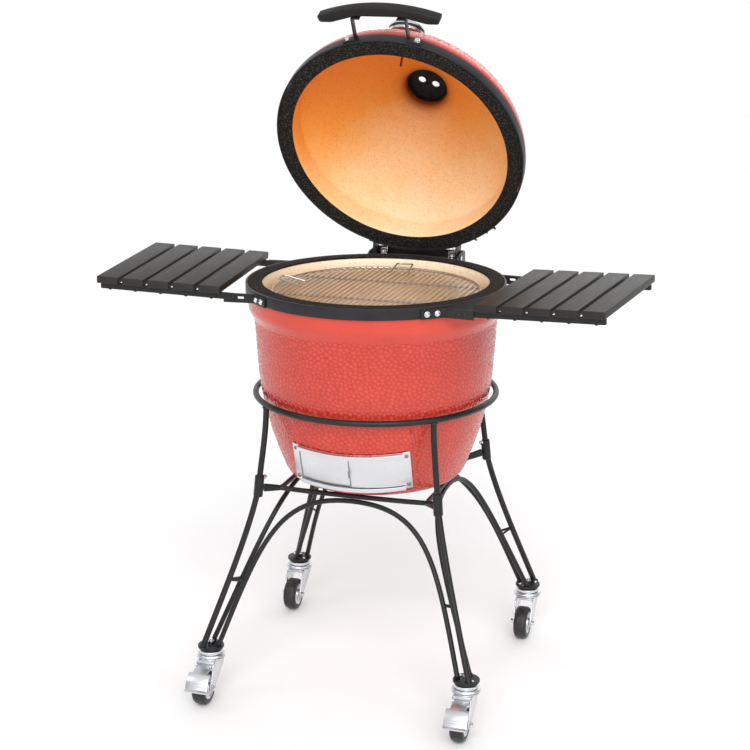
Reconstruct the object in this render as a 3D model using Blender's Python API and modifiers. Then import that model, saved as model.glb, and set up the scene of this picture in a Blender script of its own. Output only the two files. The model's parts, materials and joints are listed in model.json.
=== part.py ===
"""Kamado ceramic grill on a wheeled rod stand, with two folding side shelves.

Metres, +Z up, floor at z = 0. The front is -Y and the lid's hinge is at the back. The grill's own
axis stands at x = 0, y = AXIS_Y, so that the origin is under the middle of the whole object.
The lid is modelled closed and then tipped back about its hinge pin by LID_OPEN.
"""

import bmesh
import bpy
from math import cos, hypot, pi, radians, sin, sqrt
from mathutils import Matrix, Vector

# ---- Driving dimensions (metres, degrees where said) ----
AXIS_Y = -0.0313        # the grill's axis, from the middle of the object's box
GAP = 0.0004            # clearance between pieces that touch
STEPS = 32              # facets round the large turned pieces
MERGE = 0.00005         # merge distance for every modifier that welds

RIM_Z = 0.8807          # top of the base gasket, where base and lid meet
RIM_INNER = 0.2457      # inner radius of both ceramic rims
RIM_OUTER = 0.2768      # outer radius of both ceramic rims, under the bands
BAND_OUTER = 0.2820
BAND_HEIGHT = 0.0240
BAND_WALL = 0.0045
GASKET = 0.0040         # thickness of each felt gasket

LID_OPEN = 62.2         # degrees from closed to the open rest position
HINGE_Y = 0.2940        # pin, from the grill's axis
HINGE_Z = 0.8770
PIN_RADIUS = 0.0040
DOME_RADIUS = 0.2850    # the dome is half an ellipsoid with a chimney on top
DOME_HEIGHT = 0.1980
DOME_WALL = 0.0220
CHIMNEY_BORE = 0.0480
CHIMNEY_OUTER = 0.0660
CHIMNEY_TOP = 0.2600    # above the lid's rim
VENT_HOLE = 0.0090
VENT_HOLE_REACH = 0.0165
VENT_HOLE_ANGLES = (-160.0, 20.0)

SHELF_TURN = 5.36       # degrees that each shelf is turned towards the front
SHELF_TILT = 2.2        # degrees that each shelf's outer edge is raised
SHELF_PIN = 0.2695      # fold pin, outwards from the grill's axis
SHELF_PIN_Z = 0.8660
SLAT_COUNT = 5
SLAT_LENGTH = 0.3800
SLAT_WIDTH = 0.0475
SLAT_THICK = 0.0155
SLAT_PITCH = 0.0564
SLAT_FIRST = 0.0492     # first slat's middle, outwards from the fold pin
SLAT_BASE = 0.0091      # underside of the slats, above the fold pin
RAIL_OFFSET = 0.1695    # rails and bracket plates, either side of the shelf's middle
RAIL_THICK = 0.0060
RAIL_HEIGHT = 0.0142

STAND_RING = 0.2635     # radius of the stand's top ring, to the rod's middle
STAND_RING_Z = 0.6337
ROD = 0.0065            # radius of the stand's rods
ARCH_ROD = 0.0055
SOCKET_RADIUS = 0.2835  # sockets of the four legs, from the axis
SOCKET_Z = 0.4545
LEG_FOOT = 0.4240       # where a leg lands on its foot disc, from the axis
FOOT_X = 0.2880
FOOT_Y = 0.2790
FOOT_Z = 0.1010         # underside of the foot discs, in the grill's own frame
FOOT_STACK = 0.0118     # height of the spacer and plate under a foot disc, by which the grill's frame is raised
FOOT_THICK = 0.0060
FOOT_RADIUS = 0.0285
CRADLE_REACH = 0.1650   # distance of the four cradle bars from the axis
CRADLE_Z = 0.4405
ARCH_TOP = 0.4290

WHEEL_RADIUS = 0.0375
WHEEL_WIDTH = 0.0300
WHEEL_TRAIL = 0.0460    # the wheels trail towards the front
AXLE_RADIUS = 0.0040

DOOR_TILT = 20.0        # degrees that the draft door leans out at its top
DOOR_TURN = 3.5         # degrees that the draft door stands off the middle, towards the right
DOOR_CURVE = 0.3000     # radius of the curved tracks
DOOR_FRONT = 0.2220     # middle of the tracks, from the grill's axis
DOOR_Z = 0.5130
DOOR_HALF_ANGLE = 25.0  # degrees either side of the middle
DOOR_HALF_HEIGHT = 0.0470

GRATE_RADIUS = 0.2280
GRATE_Z = 0.8620        # top of the grate's bars


# ---- Scene, collection and materials ----
def clear_scene():
    for obj in list(bpy.data.objects):
        bpy.data.objects.remove(obj)


def new_collection(name):
    coll = bpy.data.collections.new(name)
    bpy.context.scene.collection.children.link(coll)
    return coll


def material(name, color, roughness, metallic=0.0):
    mat = bpy.data.materials.new(name)
    mat.use_nodes = True
    shader = mat.node_tree.nodes["Principled BSDF"]
    shader.inputs["Base Color"].default_value = (*color, 1.0)
    shader.inputs["Roughness"].default_value = roughness
    shader.inputs["Metallic"].default_value = metallic
    mat.diffuse_color = (*color, 1.0)
    return mat


def anchor(name, location, rotation=(0.0, 0.0, 0.0), parent=None):
    """An empty that carries other objects."""
    obj = bpy.data.objects.new(name, None)
    PARTS.objects.link(obj)
    obj.parent = parent
    obj.location = location
    obj.rotation_euler = rotation
    return obj


def piece(name, mesh, mat, parent, location=(0.0, 0.0, 0.0), rotation=(0.0, 0.0, 0.0), smooth=35.0):
    """A finished sub-part: one named object with one material."""
    mesh.materials.clear()
    mesh.materials.append(mat)
    if smooth:
        mesh.shade_smooth()
        mesh.set_sharp_from_angle(angle=radians(smooth))
    obj = bpy.data.objects.new(name, mesh)
    PARTS.objects.link(obj)
    obj.parent = parent
    obj.location = location
    obj.rotation_euler = rotation
    return obj


# ---- Mesh makers: each returns a mesh ----
def bake(obj):
    """The mesh that an object's modifiers give. The object is removed."""
    graph = bpy.context.evaluated_depsgraph_get()
    mesh = bpy.data.meshes.new_from_object(obj.evaluated_get(graph))
    bpy.data.objects.remove(obj)
    return mesh


def draft(mesh, name="draft"):
    obj = bpy.data.objects.new(name, mesh)
    bpy.context.scene.collection.objects.link(obj)
    return obj


def from_bmesh(bm):
    bmesh.ops.recalc_face_normals(bm, faces=bm.faces)
    mesh = bpy.data.meshes.new("mesh")
    bm.to_mesh(mesh)
    bm.free()
    return mesh


def moved(mesh, matrix):
    mesh.transform(matrix)
    return mesh


def joined(meshes):
    """Several separate closed bodies in one mesh, for use in one Boolean."""
    bm = bmesh.new()
    for mesh in meshes:
        bm.from_mesh(mesh)
    return from_bmesh(bm)


def combine(base, other, operation):
    target = draft(base, "target")
    tool = draft(other, "tool")
    modifier = target.modifiers.new("cut", "BOOLEAN")
    modifier.operation = operation
    modifier.solver = "EXACT"
    modifier.object = tool
    result = bake(target)
    bpy.data.objects.remove(tool)
    return result


def union(base, *others):
    for other in others:
        base = combine(base, other, "UNION")
    return base


def cut(base, *others):
    for other in others:
        base = combine(base, other, "DIFFERENCE")
    return base


def box(size, centre, bevel=0.0):
    bm = bmesh.new()
    bmesh.ops.create_cube(bm, size=1.0)
    bmesh.ops.scale(bm, vec=size, verts=bm.verts)
    bmesh.ops.translate(bm, vec=centre, verts=bm.verts)
    if bevel:
        bmesh.ops.bevel(bm, geom=bm.edges[:], offset=bevel, segments=1, affect="EDGES")
    return from_bmesh(bm)


def cylinder(radius, length, centre, axis="Z", sides=16):
    bm = bmesh.new()
    bmesh.ops.create_cone(bm, cap_ends=True, segments=sides, radius1=radius, radius2=radius, depth=length)
    turn = {"X": Matrix.Rotation(pi / 2, 4, "Y"), "Y": Matrix.Rotation(pi / 2, 4, "X"), "Z": Matrix()}
    bmesh.ops.transform(bm, matrix=Matrix.Translation(centre) @ turn[axis], verts=bm.verts)
    return from_bmesh(bm)


def turned(profile, steps=STEPS, closed=True):
    """A profile of (radius, height) points turned about Z, outer side first, from top to bottom."""
    count = len(profile)
    edges = [(i, (i + 1) % count) for i in range(count if closed else count - 1)]
    mesh = bpy.data.meshes.new("profile")
    mesh.from_pydata([(r, 0.0, z) for r, z in profile], edges, [])
    obj = draft(mesh)
    screw = obj.modifiers.new("turn", "SCREW")
    screw.steps = steps
    screw.render_steps = steps
    screw.use_merge_vertices = True
    screw.merge_threshold = MERGE
    return bake(obj)


def plate(outline, thickness, matrix=None):
    """A flat outline of (x, y) points, given a thickness along Z about z = 0."""
    curve = bpy.data.curves.new("outline", "CURVE")
    curve.dimensions = "2D"
    curve.fill_mode = "BOTH"
    curve.extrude = thickness / 2
    spline = curve.splines.new("POLY")
    spline.points.add(len(outline) - 1)
    for point, (x, y) in zip(spline.points, outline):
        point.co = (x, y, 0.0, 1.0)
    spline.use_cyclic_u = True
    return moved(welded(bake(draft(curve))), matrix or Matrix())


def rod(points, radius, sides=8):
    """A round rod through the points, with closed ends."""
    curve = bpy.data.curves.new("rod", "CURVE")
    curve.dimensions = "3D"
    curve.bevel_depth = radius
    curve.bevel_resolution = sides // 2 - 2
    curve.use_fill_caps = True
    spline = curve.splines.new("POLY")
    spline.points.add(len(points) - 1)
    for point, place in zip(spline.points, points):
        point.co = (*place, 1.0)
    return welded(bake(draft(curve)))


def welded(mesh):
    bm = bmesh.new()
    bm.from_mesh(mesh)
    bmesh.ops.remove_doubles(bm, verts=bm.verts, dist=MERGE)
    return from_bmesh(bm)


def swept(profile, half_angle, steps, middle=0.0):
    """A closed (radius, height) profile swept about Z, either side of the -Y direction."""
    bm = bmesh.new()
    start = radians(middle - half_angle)
    verts = [bm.verts.new((r * sin(start), -r * cos(start), z)) for r, z in profile]
    face = bm.faces.new(verts)
    bmesh.ops.spin(bm, geom=[face], axis=(0, 0, 1), cent=(0, 0, 0),
                   angle=2 * radians(half_angle), steps=steps)
    return from_bmesh(bm)


# ---- Shapes that follow a rule ----
def bezier(start, start_handle, end_handle, end, count):
    """Points on a cubic curve between two places."""
    places = []
    for i in range(count + 1):
        t = i / count
        weights = ((1 - t) ** 3, 3 * (1 - t) ** 2 * t, 3 * (1 - t) * t ** 2, t ** 3)
        total = Vector((0.0, 0.0, 0.0))
        for weight, place in zip(weights, (start, start_handle, end_handle, end)):
            total += weight * Vector(place)
        places.append(total)
    return places


def on_diagonal(radius, z, side_x, side_y):
    """A place above one of the four diagonals, at a distance from the axis."""
    return (side_x * radius / sqrt(2), side_y * radius / sqrt(2), z)


def dome_radius(height, inset=0.0):
    """The dome's radius at a height above the lid's rim, or that of its inner face."""
    share = height / (DOME_HEIGHT - inset)
    return (DOME_RADIUS - inset) * sqrt(max(0.0, 1.0 - share * share))


SIDES = (("left", -1), ("right", 1))
ENDS = (("front", -1), ("rear", 1))
CORNERS = [(f"{end}_{side}", sx, sy) for end, sy in ENDS for side, sx in SIDES]


# ---- Ceramic base with its gasket and band ----
def door_matrix():
    """From the draft door's own frame, whose Z is the axis of its tracks, to the grill's frame."""
    turn = Matrix.Rotation(radians(DOOR_TURN), 4, "Z")
    tilt = radians(DOOR_TILT)
    centre = (0.0, -DOOR_FRONT + DOOR_CURVE * cos(tilt), DOOR_Z + DOOR_CURVE * sin(tilt))
    return turn @ Matrix.Translation(centre) @ Matrix.Rotation(tilt, 4, "X")


def build_base(parent, mats):
    rim = RIM_Z - GASKET - GAP
    outer = [(RIM_OUTER, rim), (RIM_OUTER, 0.8300), (0.2742, 0.8210), (0.2690, 0.8110), (0.2655, 0.8010),
             (0.2636, 0.7880), (0.2603, 0.7400), (0.2560, 0.6800), (0.2470, 0.6200), (0.2321, 0.5600),
             (0.2188, 0.5200), (0.2038, 0.4800), (0.1950, 0.4630), (0.1780, 0.4510), (0.1500, 0.4470)]
    hollow = [(0.0, rim + 0.0100), (RIM_INNER, rim + 0.0100), (RIM_INNER, 0.8600), (0.2400, 0.7900),
              (0.2340, 0.6900), (0.2240, 0.6200), (0.2060, 0.5450), (0.1850, 0.4900), (0.1650, 0.4740),
              (0.0, 0.4740)]
    solid = turned([(0.0, rim), *outer, (0.0, 0.4470)], closed=False)
    back = 0.2700
    boss = swept([(back, -0.0500), (DOOR_CURVE - GAP, -0.0500), (DOOR_CURVE - GAP, 0.0520), (back, 0.0700)],
                 DOOR_HALF_ANGLE + 1.5, 10)
    opening = box((0.1500, 0.1300, 0.0560), (0.0, -DOOR_CURVE + 0.0300, 0.0))
    bowl = union(solid, moved(boss, door_matrix()))
    bowl = cut(bowl, turned(hollow, closed=False), moved(opening, door_matrix()))
    piece("base_bowl", bowl, mats["glaze"], parent)

    top = RIM_Z
    gasket = [(RIM_OUTER, top), (RIM_OUTER, top - GASKET), (RIM_INNER, top - GASKET), (RIM_INNER, top)]
    piece("base_gasket", turned(gasket), mats["felt"], parent)
    piece("base_band", turned(band_profile(top - 0.0002, -1)), mats["band"], parent)


def band_profile(top, direction):
    """A steel band's section. It reaches down from its upper edge, or up when direction is 1."""
    low = top - BAND_HEIGHT if direction < 0 else top
    high = low + BAND_HEIGHT
    inside = BAND_OUTER - BAND_WALL
    chamfer = 0.0010
    return [(BAND_OUTER - chamfer, high), (BAND_OUTER, high - chamfer), (BAND_OUTER, low + chamfer),
            (BAND_OUTER - chamfer, low), (inside, low), (inside, high)]


# ---- Firebox, fire ring and cooking grate ----
def build_inside(parent, mats):
    floor = 0.4745
    firebox = [(0.2120, 0.6900), (0.2050, 0.6200), (0.1880, 0.5500), (0.1640, floor + 0.0010),
               (0.0700, floor + 0.0010), (0.0700, floor + 0.0190), (0.1480, floor + 0.0210),
               (0.1690, 0.5500), (0.1850, 0.6200), (0.1920, 0.6900)]
    draught = moved(box((0.1300, 0.1400, 0.0500), (0.0, -0.1700, 0.5300)),
                    Matrix.Rotation(radians(DOOR_TURN), 4, "Z"))
    piece("firebox", cut(turned(firebox), draught), mats["firebrick"], parent)

    low = 0.6900 + GAP
    ring = [(0.2370, 0.8500), (0.2290, 0.7000), (0.2270, low), (0.1950, low), (0.1950, low + 0.0200),
            (0.2180, 0.8500)]
    piece("fire_ring", turned(ring), mats["firebrick"], parent)
    piece("cooking_grate", grate_mesh(), mats["steel"], parent)


def grate_mesh():
    """Parallel bars in a ring, over two cross bars: the bars are square in section."""
    bar = 0.0040
    ring_bar = 0.0060
    pitch = 0.0254
    reach = GRATE_RADIUS - ring_bar / 2
    middle = GRATE_Z - ring_bar / 2
    ring = [(GRATE_RADIUS, middle + ring_bar / 2), (GRATE_RADIUS, middle - ring_bar / 2),
            (GRATE_RADIUS - ring_bar, middle - ring_bar / 2), (GRATE_RADIUS - ring_bar, middle + ring_bar / 2)]
    rows = int(reach / pitch)
    wires = []
    for i in range(-rows, rows + 1):
        x = i * pitch
        half = sqrt(reach * reach - x * x)
        wires.append(box((bar, 2 * half, bar), (x, 0.0, middle + 0.0002)))
    crosses = []
    for y in (-0.0900, 0.0900):
        half = sqrt(reach * reach - y * y)
        crosses.append(box((2 * half, bar, bar), (0.0, y, middle - 0.0012)))
    return union(turned(ring), joined(wires), joined(crosses))


# ---- Draft door ----
def build_door(parent, mats):
    matrix = door_matrix()
    frame = anchor("door_tracks", matrix.translation, matrix.to_euler(), parent)
    back = DOOR_CURVE
    face = back + 0.0015
    lip = 0.0068
    top = DOOR_HALF_HEIGHT
    sheet = swept([(back, -top), (face, -top), (face, top), (back, top)], DOOR_HALF_ANGLE, 12)
    window = box((0.1900, 0.1000, 0.0660), (0.0, -DOOR_CURVE, 0.0))
    rails = []
    for up in (-1, 1):
        section = [(back + 0.0005, up * top), (face + lip, up * top), (face + lip, up * (top - 0.0100)),
                   (face + lip - 0.0012, up * (top - 0.0100)), (face + lip - 0.0012, up * (top - 0.0030)),
                   (back + 0.0005, up * (top - 0.0030))]
        rails.append(swept(section, DOOR_HALF_ANGLE - 3.0, 12))
    piece("draft_frame", union(cut(sheet, window), joined(rails)), mats["bright"], frame)

    height = top - 0.0030 - GAP
    half = 11.0
    inner = face + GAP
    left = swept([(inner, -height), (inner + 0.0012, -height), (inner + 0.0012, height), (inner, height)],
                 half, 6, -half)
    piece("draft_panel_left", left, mats["bright"], frame)
    outer = inner + 0.0012 + 0.0008
    right = swept([(outer, -height), (outer + 0.0012, -height), (outer + 0.0012, height), (outer, height)],
                  half, 6, half)
    tab = box((0.0012, 0.0100, 0.0440), (0.0009, -outer - 0.0053, 0.0))
    piece("draft_panel_right", union(right, tab), mats["bright"], frame)


# ---- Lid: dome, gasket, band, handle, thermometer and vent ----
def build_lid(pivot, mats):
    """Everything here is placed as if the lid were closed, from the grill's axis."""
    rim = RIM_Z + GAP
    closed = (0.0, -HINGE_Y, -HINGE_Z)
    gasket = [(RIM_OUTER, rim + GASKET), (RIM_OUTER, rim), (RIM_INNER, rim), (RIM_INNER, rim + GASKET)]
    piece("lid_gasket", turned(gasket), mats["felt"], pivot, closed)
    piece("lid_band", turned(band_profile(rim + 0.0002, 1)), mats["band"], pivot, closed)
    piece("dome", dome_mesh(rim + GASKET + GAP), mats["glaze"], pivot, closed)
    build_handle(pivot, closed, mats)
    build_thermometer(pivot, closed, mats)
    build_vent(pivot, mats)


def dome_mesh(low):
    base = RIM_Z
    outer = [(CHIMNEY_OUTER, base + CHIMNEY_TOP), (CHIMNEY_OUTER, base + 0.2520), (0.0900, base + 0.2370),
             (0.1300, base + 0.2040), (0.1680, base + 0.1715), (0.2060, base + 0.1390)]
    for height in (0.1150, 0.0800, 0.0500, 0.0340):
        outer.append((min(dome_radius(height), 0.2790), base + height))
    outer += [(RIM_OUTER, base + 0.0260), (RIM_OUTER, low)]
    inner = [(RIM_INNER, low)]
    for height in (0.0400, 0.0750, 0.1050):
        inner.append((min(dome_radius(height, DOME_WALL + 0.0020), RIM_INNER), base + height))
    inner += [(0.1870, base + 0.1255), (0.1500, base + 0.1580), (0.1100, base + 0.1930), (0.0730, base + 0.2260),
              (0.0560, base + 0.2375), (CHIMNEY_BORE, base + 0.2460), (CHIMNEY_BORE, base + CHIMNEY_TOP)]
    dome = turned([*outer, *inner])
    return cut(dome, moved(cylinder(0.0050, 0.1000, (0.0, 0.0, 0.0), sides=10), thermometer_matrix()))


def thermometer_matrix():
    """At the dome's outer surface on the front, with Z along the probe, outwards."""
    radius = 0.1850
    height = DOME_HEIGHT * sqrt(1.0 - (radius / DOME_RADIUS) ** 2)
    slope = Vector((0.0, -radius / DOME_RADIUS ** 2, height / DOME_HEIGHT ** 2)).normalized()
    turn = Vector((0.0, 0.0, 1.0)).rotation_difference(slope).to_matrix().to_4x4()
    return Matrix.Translation((0.0, -radius, RIM_Z + height)) @ turn


def build_thermometer(pivot, closed, mats):
    dial = 0.0400
    low = 0.0090
    high = 0.0330
    probe = [(dial - 0.0050, high), (dial, high - 0.0040), (dial, low + 0.0060), (0.0180, low),
             (0.0045, low), (0.0045, -0.0200), (0.0025, -0.0230), (0.0025, -0.0620)]
    mesh = turned([(0.0, high), *probe, (0.0, -0.0620)], 20, closed=False)
    piece("thermometer", moved(mesh, thermometer_matrix()), mats["chrome"], pivot, closed)


def build_handle(pivot, closed, mats):
    low = 0.8860
    high = 0.9100
    half = 0.1350
    front = 0.3570
    end_front = 0.3330
    bow = (half ** 2 + (front - end_front) ** 2) / (2 * (front - end_front))
    outline = []
    for i in range(9):
        x = half * (i / 4 - 1)
        outline.append((x, -front + bow - sqrt(bow * bow - x * x)))
    outline += [(half - 0.0040, -0.3190), (0.1050, -0.3190), (0.0700, -0.3290), (0.0500, -0.3350),
                (-0.0500, -0.3350), (-0.0700, -0.3290), (-0.1050, -0.3190), (-half + 0.0040, -0.3190)]
    bar = draft(plate(outline, high - low, Matrix.Translation((0.0, 0.0, (low + high) / 2))))
    edge = bar.modifiers.new("edge", "BEVEL")
    edge.width = 0.0020
    edge.segments = 1
    edge.limit_method = "ANGLE"
    piece("handle_bar", bake(bar), mats["handle"], pivot, closed)
    for side, sx in SIDES:
        piece(f"handle_bracket_{side}", handle_bracket(sx), mats["steel_black"], pivot, closed)


def handle_bracket(sx):
    """A strip that stands off the lid band, with a bolted foot that follows the band."""
    x = 0.0590
    thick = 0.0030
    height = 0.0180
    middle = RIM_Z + GAP + BAND_HEIGHT / 2
    foot_radius = BAND_OUTER + GAP
    angle = 14.5
    foot = swept([(foot_radius, middle - height / 2), (foot_radius + thick, middle - height / 2),
                  (foot_radius + thick, middle + height / 2), (foot_radius, middle + height / 2)],
                 3.2, 3, sx * angle)
    start = sqrt(foot_radius ** 2 - x ** 2) + 0.0012
    end = 0.3315 - GAP
    arm = box((thick, end - start, height - 0.0010), (sx * x, -(start + end) / 2, middle))
    return union(foot, arm)


def build_vent(pivot, mats):
    """A cast cap over the chimney, and above it a disc whose two holes open or close the cap's two."""
    top = RIM_Z + CHIMNEY_TOP
    place = (0.0, -HINGE_Y, top - HINGE_Z)
    plug = CHIMNEY_BORE - 0.0010
    cap = [(0.0, 0.0100), (0.0640, 0.0100), (0.0680, 0.0060), (0.0680, GAP), (plug, GAP), (plug, -0.0040),
           (plug - 0.0030, -0.0040), (plug - 0.0030, 0.0075), (0.0, 0.0075)]
    body = cut(turned(cap, STEPS, closed=False), vent_holes())
    post = cylinder(0.0050, 0.0200, (0.0, 0.0, 0.0140), sides=12)
    piece("vent_base", union(body, post), mats["cast"], pivot, place)
    low = 0.0100 + GAP
    disc = [(0.0560, low + 0.0025), (0.0560, low), (0.0054, low), (0.0054, low + 0.0025)]
    handle = box((0.0100, 0.0240, 0.0030), (0.0, 0.0640, low + 0.0020))
    piece("vent_disc", union(cut(turned(disc, STEPS), vent_holes()), handle), mats["cast"], pivot, place)


def vent_holes():
    holes = []
    for angle in VENT_HOLE_ANGLES:
        a = radians(angle)
        holes.append(cylinder(VENT_HOLE, 0.0600, (VENT_HOLE_REACH * cos(a), VENT_HOLE_REACH * sin(a), 0.0), sides=14))
    return joined(holes)


# ---- Hinge and lift springs ----
def build_hinge(parent, pivot, mats):
    ear_x = 0.1065
    strap = BAND_OUTER + GAP
    low = RIM_Z - BAND_HEIGHT + 0.0010
    wrap = swept([(strap, low), (strap + 0.0030, low), (strap + 0.0030, low + 0.0220), (strap, low + 0.0220)],
                 24.0, 9)
    wrap = moved(wrap, Matrix.Rotation(pi, 4, "Z"))
    ears = []
    for sx in (-1, 1):
        outline = [(0.2632, low + 0.0010), (0.3250, low - 0.0300), (0.3400, low - 0.0300),
                   (0.3400, HINGE_Z + 0.0040), (0.3340, HINGE_Z + 0.0100), (0.3180, HINGE_Z + 0.0100),
                   (0.2860, HINGE_Z + 0.0070), (0.2632, low + 0.0200)]
        ears.append(upright(outline, 0.0030, sx * ear_x))
    pins = [cylinder(PIN_RADIUS, 0.0170, (sx * (ear_x - 0.0045), HINGE_Y, HINGE_Z), "X", 12) for sx in (-1, 1)]
    shelf = box((2 * ear_x, 0.0380, 0.0030), (0.0, 0.3210, low - 0.0270))
    back = box((2 * ear_x, 0.0030, HINGE_Z + 0.0370 - low), (0.0, 0.3385, (HINGE_Z + 0.0090 + low - 0.0280) / 2))
    piece("hinge_base", union(wrap, joined(ears), shelf, back, joined(pins)), mats["steel_black"], parent)

    closed = (0.0, -HINGE_Y, -HINGE_Z)
    rim = RIM_Z + GAP + 0.0012
    strap_lid = swept([(strap, rim), (strap + 0.0030, rim), (strap + 0.0030, rim + 0.0200),
                       (strap, rim + 0.0200)], 22.5, 9)
    strap_lid = moved(strap_lid, Matrix.Rotation(pi, 4, "Z"))
    arms = []
    eye = 0.0090
    for sx in (-1, 1):
        outline = [(0.2661, rim + 0.0040), (HINGE_Y - 0.0030, HINGE_Z - eye), (HINGE_Y + 0.0060, HINGE_Z - eye),
                   (HINGE_Y + eye, HINGE_Z), (0.2980, 0.9170), (0.2880, 0.9230), (0.2661, rim + 0.0190)]
        arms.append(upright(outline, 0.0030, sx * 0.0990))
    bar = cylinder(0.0030, 0.2010, (0.0, 0.2890, 0.9140), "X", 8)
    bore = cylinder(PIN_RADIUS + 0.0004, 0.3000, (0.0, HINGE_Y, HINGE_Z), "X", 12)
    upper = cut(union(strap_lid, joined(arms), bar), bore)
    piece("hinge_lid", upper, mats["steel_black"], pivot, closed)


def upright(outline, thickness, x):
    """A plate that stands across X, from (y, z) points."""
    matrix = Matrix.Translation((x, 0.0, 0.0)) @ Matrix(((0, 0, 1, 0), (1, 0, 0, 0), (0, 1, 0, 0), (0, 0, 0, 1)))
    return plate(outline, thickness, matrix)


def build_springs(parent, mats):
    """Each spring's outer shape: a tube from the lower bracket's shelf up to the lid's spring bar."""
    foot = Vector((0.0, 0.3060, RIM_Z - BAND_HEIGHT + 0.0010 - 0.0250))
    head = Vector((0.0, 0.3185, 0.8940))
    length = (head - foot).length
    turn = Vector((0.0, 0.0, 1.0)).rotation_difference(head - foot).to_matrix().to_4x4()
    tube = [(0.0105, length), (0.0105, 0.0016), (0.0075, 0.0016), (0.0075, length)]
    for side, sx in SIDES:
        place = Matrix.Translation(foot + Vector((sx * 0.0830, 0.0, 0.0))) @ turn
        piece(f"lift_spring_{side}", moved(turned(tube, 12), place), mats["chrome"], parent)


# ---- Side shelves ----
def build_shelf(side, sx, parent, mats):
    turn = anchor(f"shelf_frame_{side}", (0.0, 0.0, 0.0), (0.0, 0.0, -sx * radians(SHELF_TURN)), parent)
    tilt = (0.0, -sx * radians(SHELF_TILT), 0.0)
    pivot = anchor(f"shelf_pivot_{side}", (sx * SHELF_PIN, 0.0, SHELF_PIN_Z), tilt, turn)
    for i in range(SLAT_COUNT):
        centre = (sx * (SLAT_FIRST + i * SLAT_PITCH), 0.0, SLAT_BASE + SLAT_THICK / 2)
        slat = box((SLAT_WIDTH, SLAT_LENGTH, SLAT_THICK), (0.0, 0.0, 0.0), 0.0015)
        piece(f"slat_{side}_{i + 1}", slat, mats["slat"], pivot, centre)
    for end, sy in ENDS:
        piece(f"shelf_rail_{side}_{end}", rail_mesh(sx, sy), mats["steel_black"], pivot)
        piece(f"shelf_bracket_{side}_{end}", bracket_mesh(sx, sy), mats["steel_black"], turn)


def rail_mesh(sx, sy):
    start = -0.0085
    end = SLAT_FIRST + (SLAT_COUNT - 1) * SLAT_PITCH + SLAT_WIDTH / 2 - 0.0030
    top = SLAT_BASE - GAP
    body = box((end - start, RAIL_THICK, RAIL_HEIGHT),
               (sx * (start + end) / 2, sy * RAIL_OFFSET, top - RAIL_HEIGHT / 2), 0.0008)
    return cut(body, cylinder(0.0034, 0.0300, (0.0, sy * RAIL_OFFSET, 0.0), "Y", 12))


def bracket_mesh(sx, sy):
    """A strap bolted to the base band that runs out to the fold pin beside the rail."""
    thick = 0.0036
    inner = BAND_OUTER + GAP
    plate_y = RAIL_OFFSET + RAIL_THICK / 2 + GAP + thick / 2
    path = []
    for angle in (48.2, 45.0, 41.6, 38.4):
        radius = inner + thick / 2
        path.append((radius * cos(radians(angle)), radius * sin(radians(angle))))
    path += [(0.2285, plate_y), (0.2900, plate_y)]
    outline = offset_strip(path, thick / 2)
    low = -0.0100
    strap = plate([(sx * x, sy * y) for x, y in outline], 0.0200,
                  Matrix.Translation((0.0, 0.0, SHELF_PIN_Z + low + 0.0100)))
    pin = cylinder(0.0030, RAIL_THICK + thick + 0.0030,
                   (sx * SHELF_PIN, sy * (plate_y - 0.0030), SHELF_PIN_Z), "Y", 12)
    return union(strap, pin)


def offset_strip(path, half):
    """The outline of a strip of constant thickness along a path."""
    left = []
    right = []
    for i, (x, y) in enumerate(path):
        before = path[max(i - 1, 0)]
        after = path[min(i + 1, len(path) - 1)]
        dx, dy = after[0] - before[0], after[1] - before[1]
        size = hypot(dx, dy)
        nx, ny = -dy / size, dx / size
        left.append((x + half * nx, y + half * ny))
        right.append((x - half * nx, y - half * ny))
    return left + right[::-1]


# ---- Stand ----
def build_stand(parent, mats):
    black = mats["steel_black"]
    posts = []
    for name, sx, sy in CORNERS:
        top = on_diagonal(STAND_RING, STAND_RING_Z, sx, sy)
        end = on_diagonal(SOCKET_RADIUS - 0.0007, SOCKET_Z + 0.0060, sx, sy)
        path = bezier(top, on_diagonal(STAND_RING, 0.5700, sx, sy),
                      on_diagonal(SOCKET_RADIUS - 0.0067, 0.5150, sx, sy), end, 5)
        posts.append(rod(path, ROD))
    ring = [(STAND_RING + ROD * cos(-2 * pi * i / 8 + pi / 8), STAND_RING_Z + ROD * sin(-2 * pi * i / 8 + pi / 8))
            for i in range(8)]
    piece("stand_upper_frame", union(turned(ring), joined(posts)), black, parent)
    for name, sx, sy in CORNERS:
        piece(f"stand_leg_{name}", leg_mesh(sx, sy), black, parent)
    for name, quarter in (("front", 0), ("right", 1), ("rear", 2), ("left", 3)):
        reach = (FOOT_X, FOOT_Y) if quarter % 2 == 0 else (FOOT_Y, FOOT_X)
        arch = moved(arch_mesh(*reach), Matrix.Rotation(quarter * pi / 2, 4, "Z"))
        piece(f"stand_arch_{name}", arch, black, parent)
    piece("stand_cradle", cradle_mesh(), black, parent)


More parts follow.
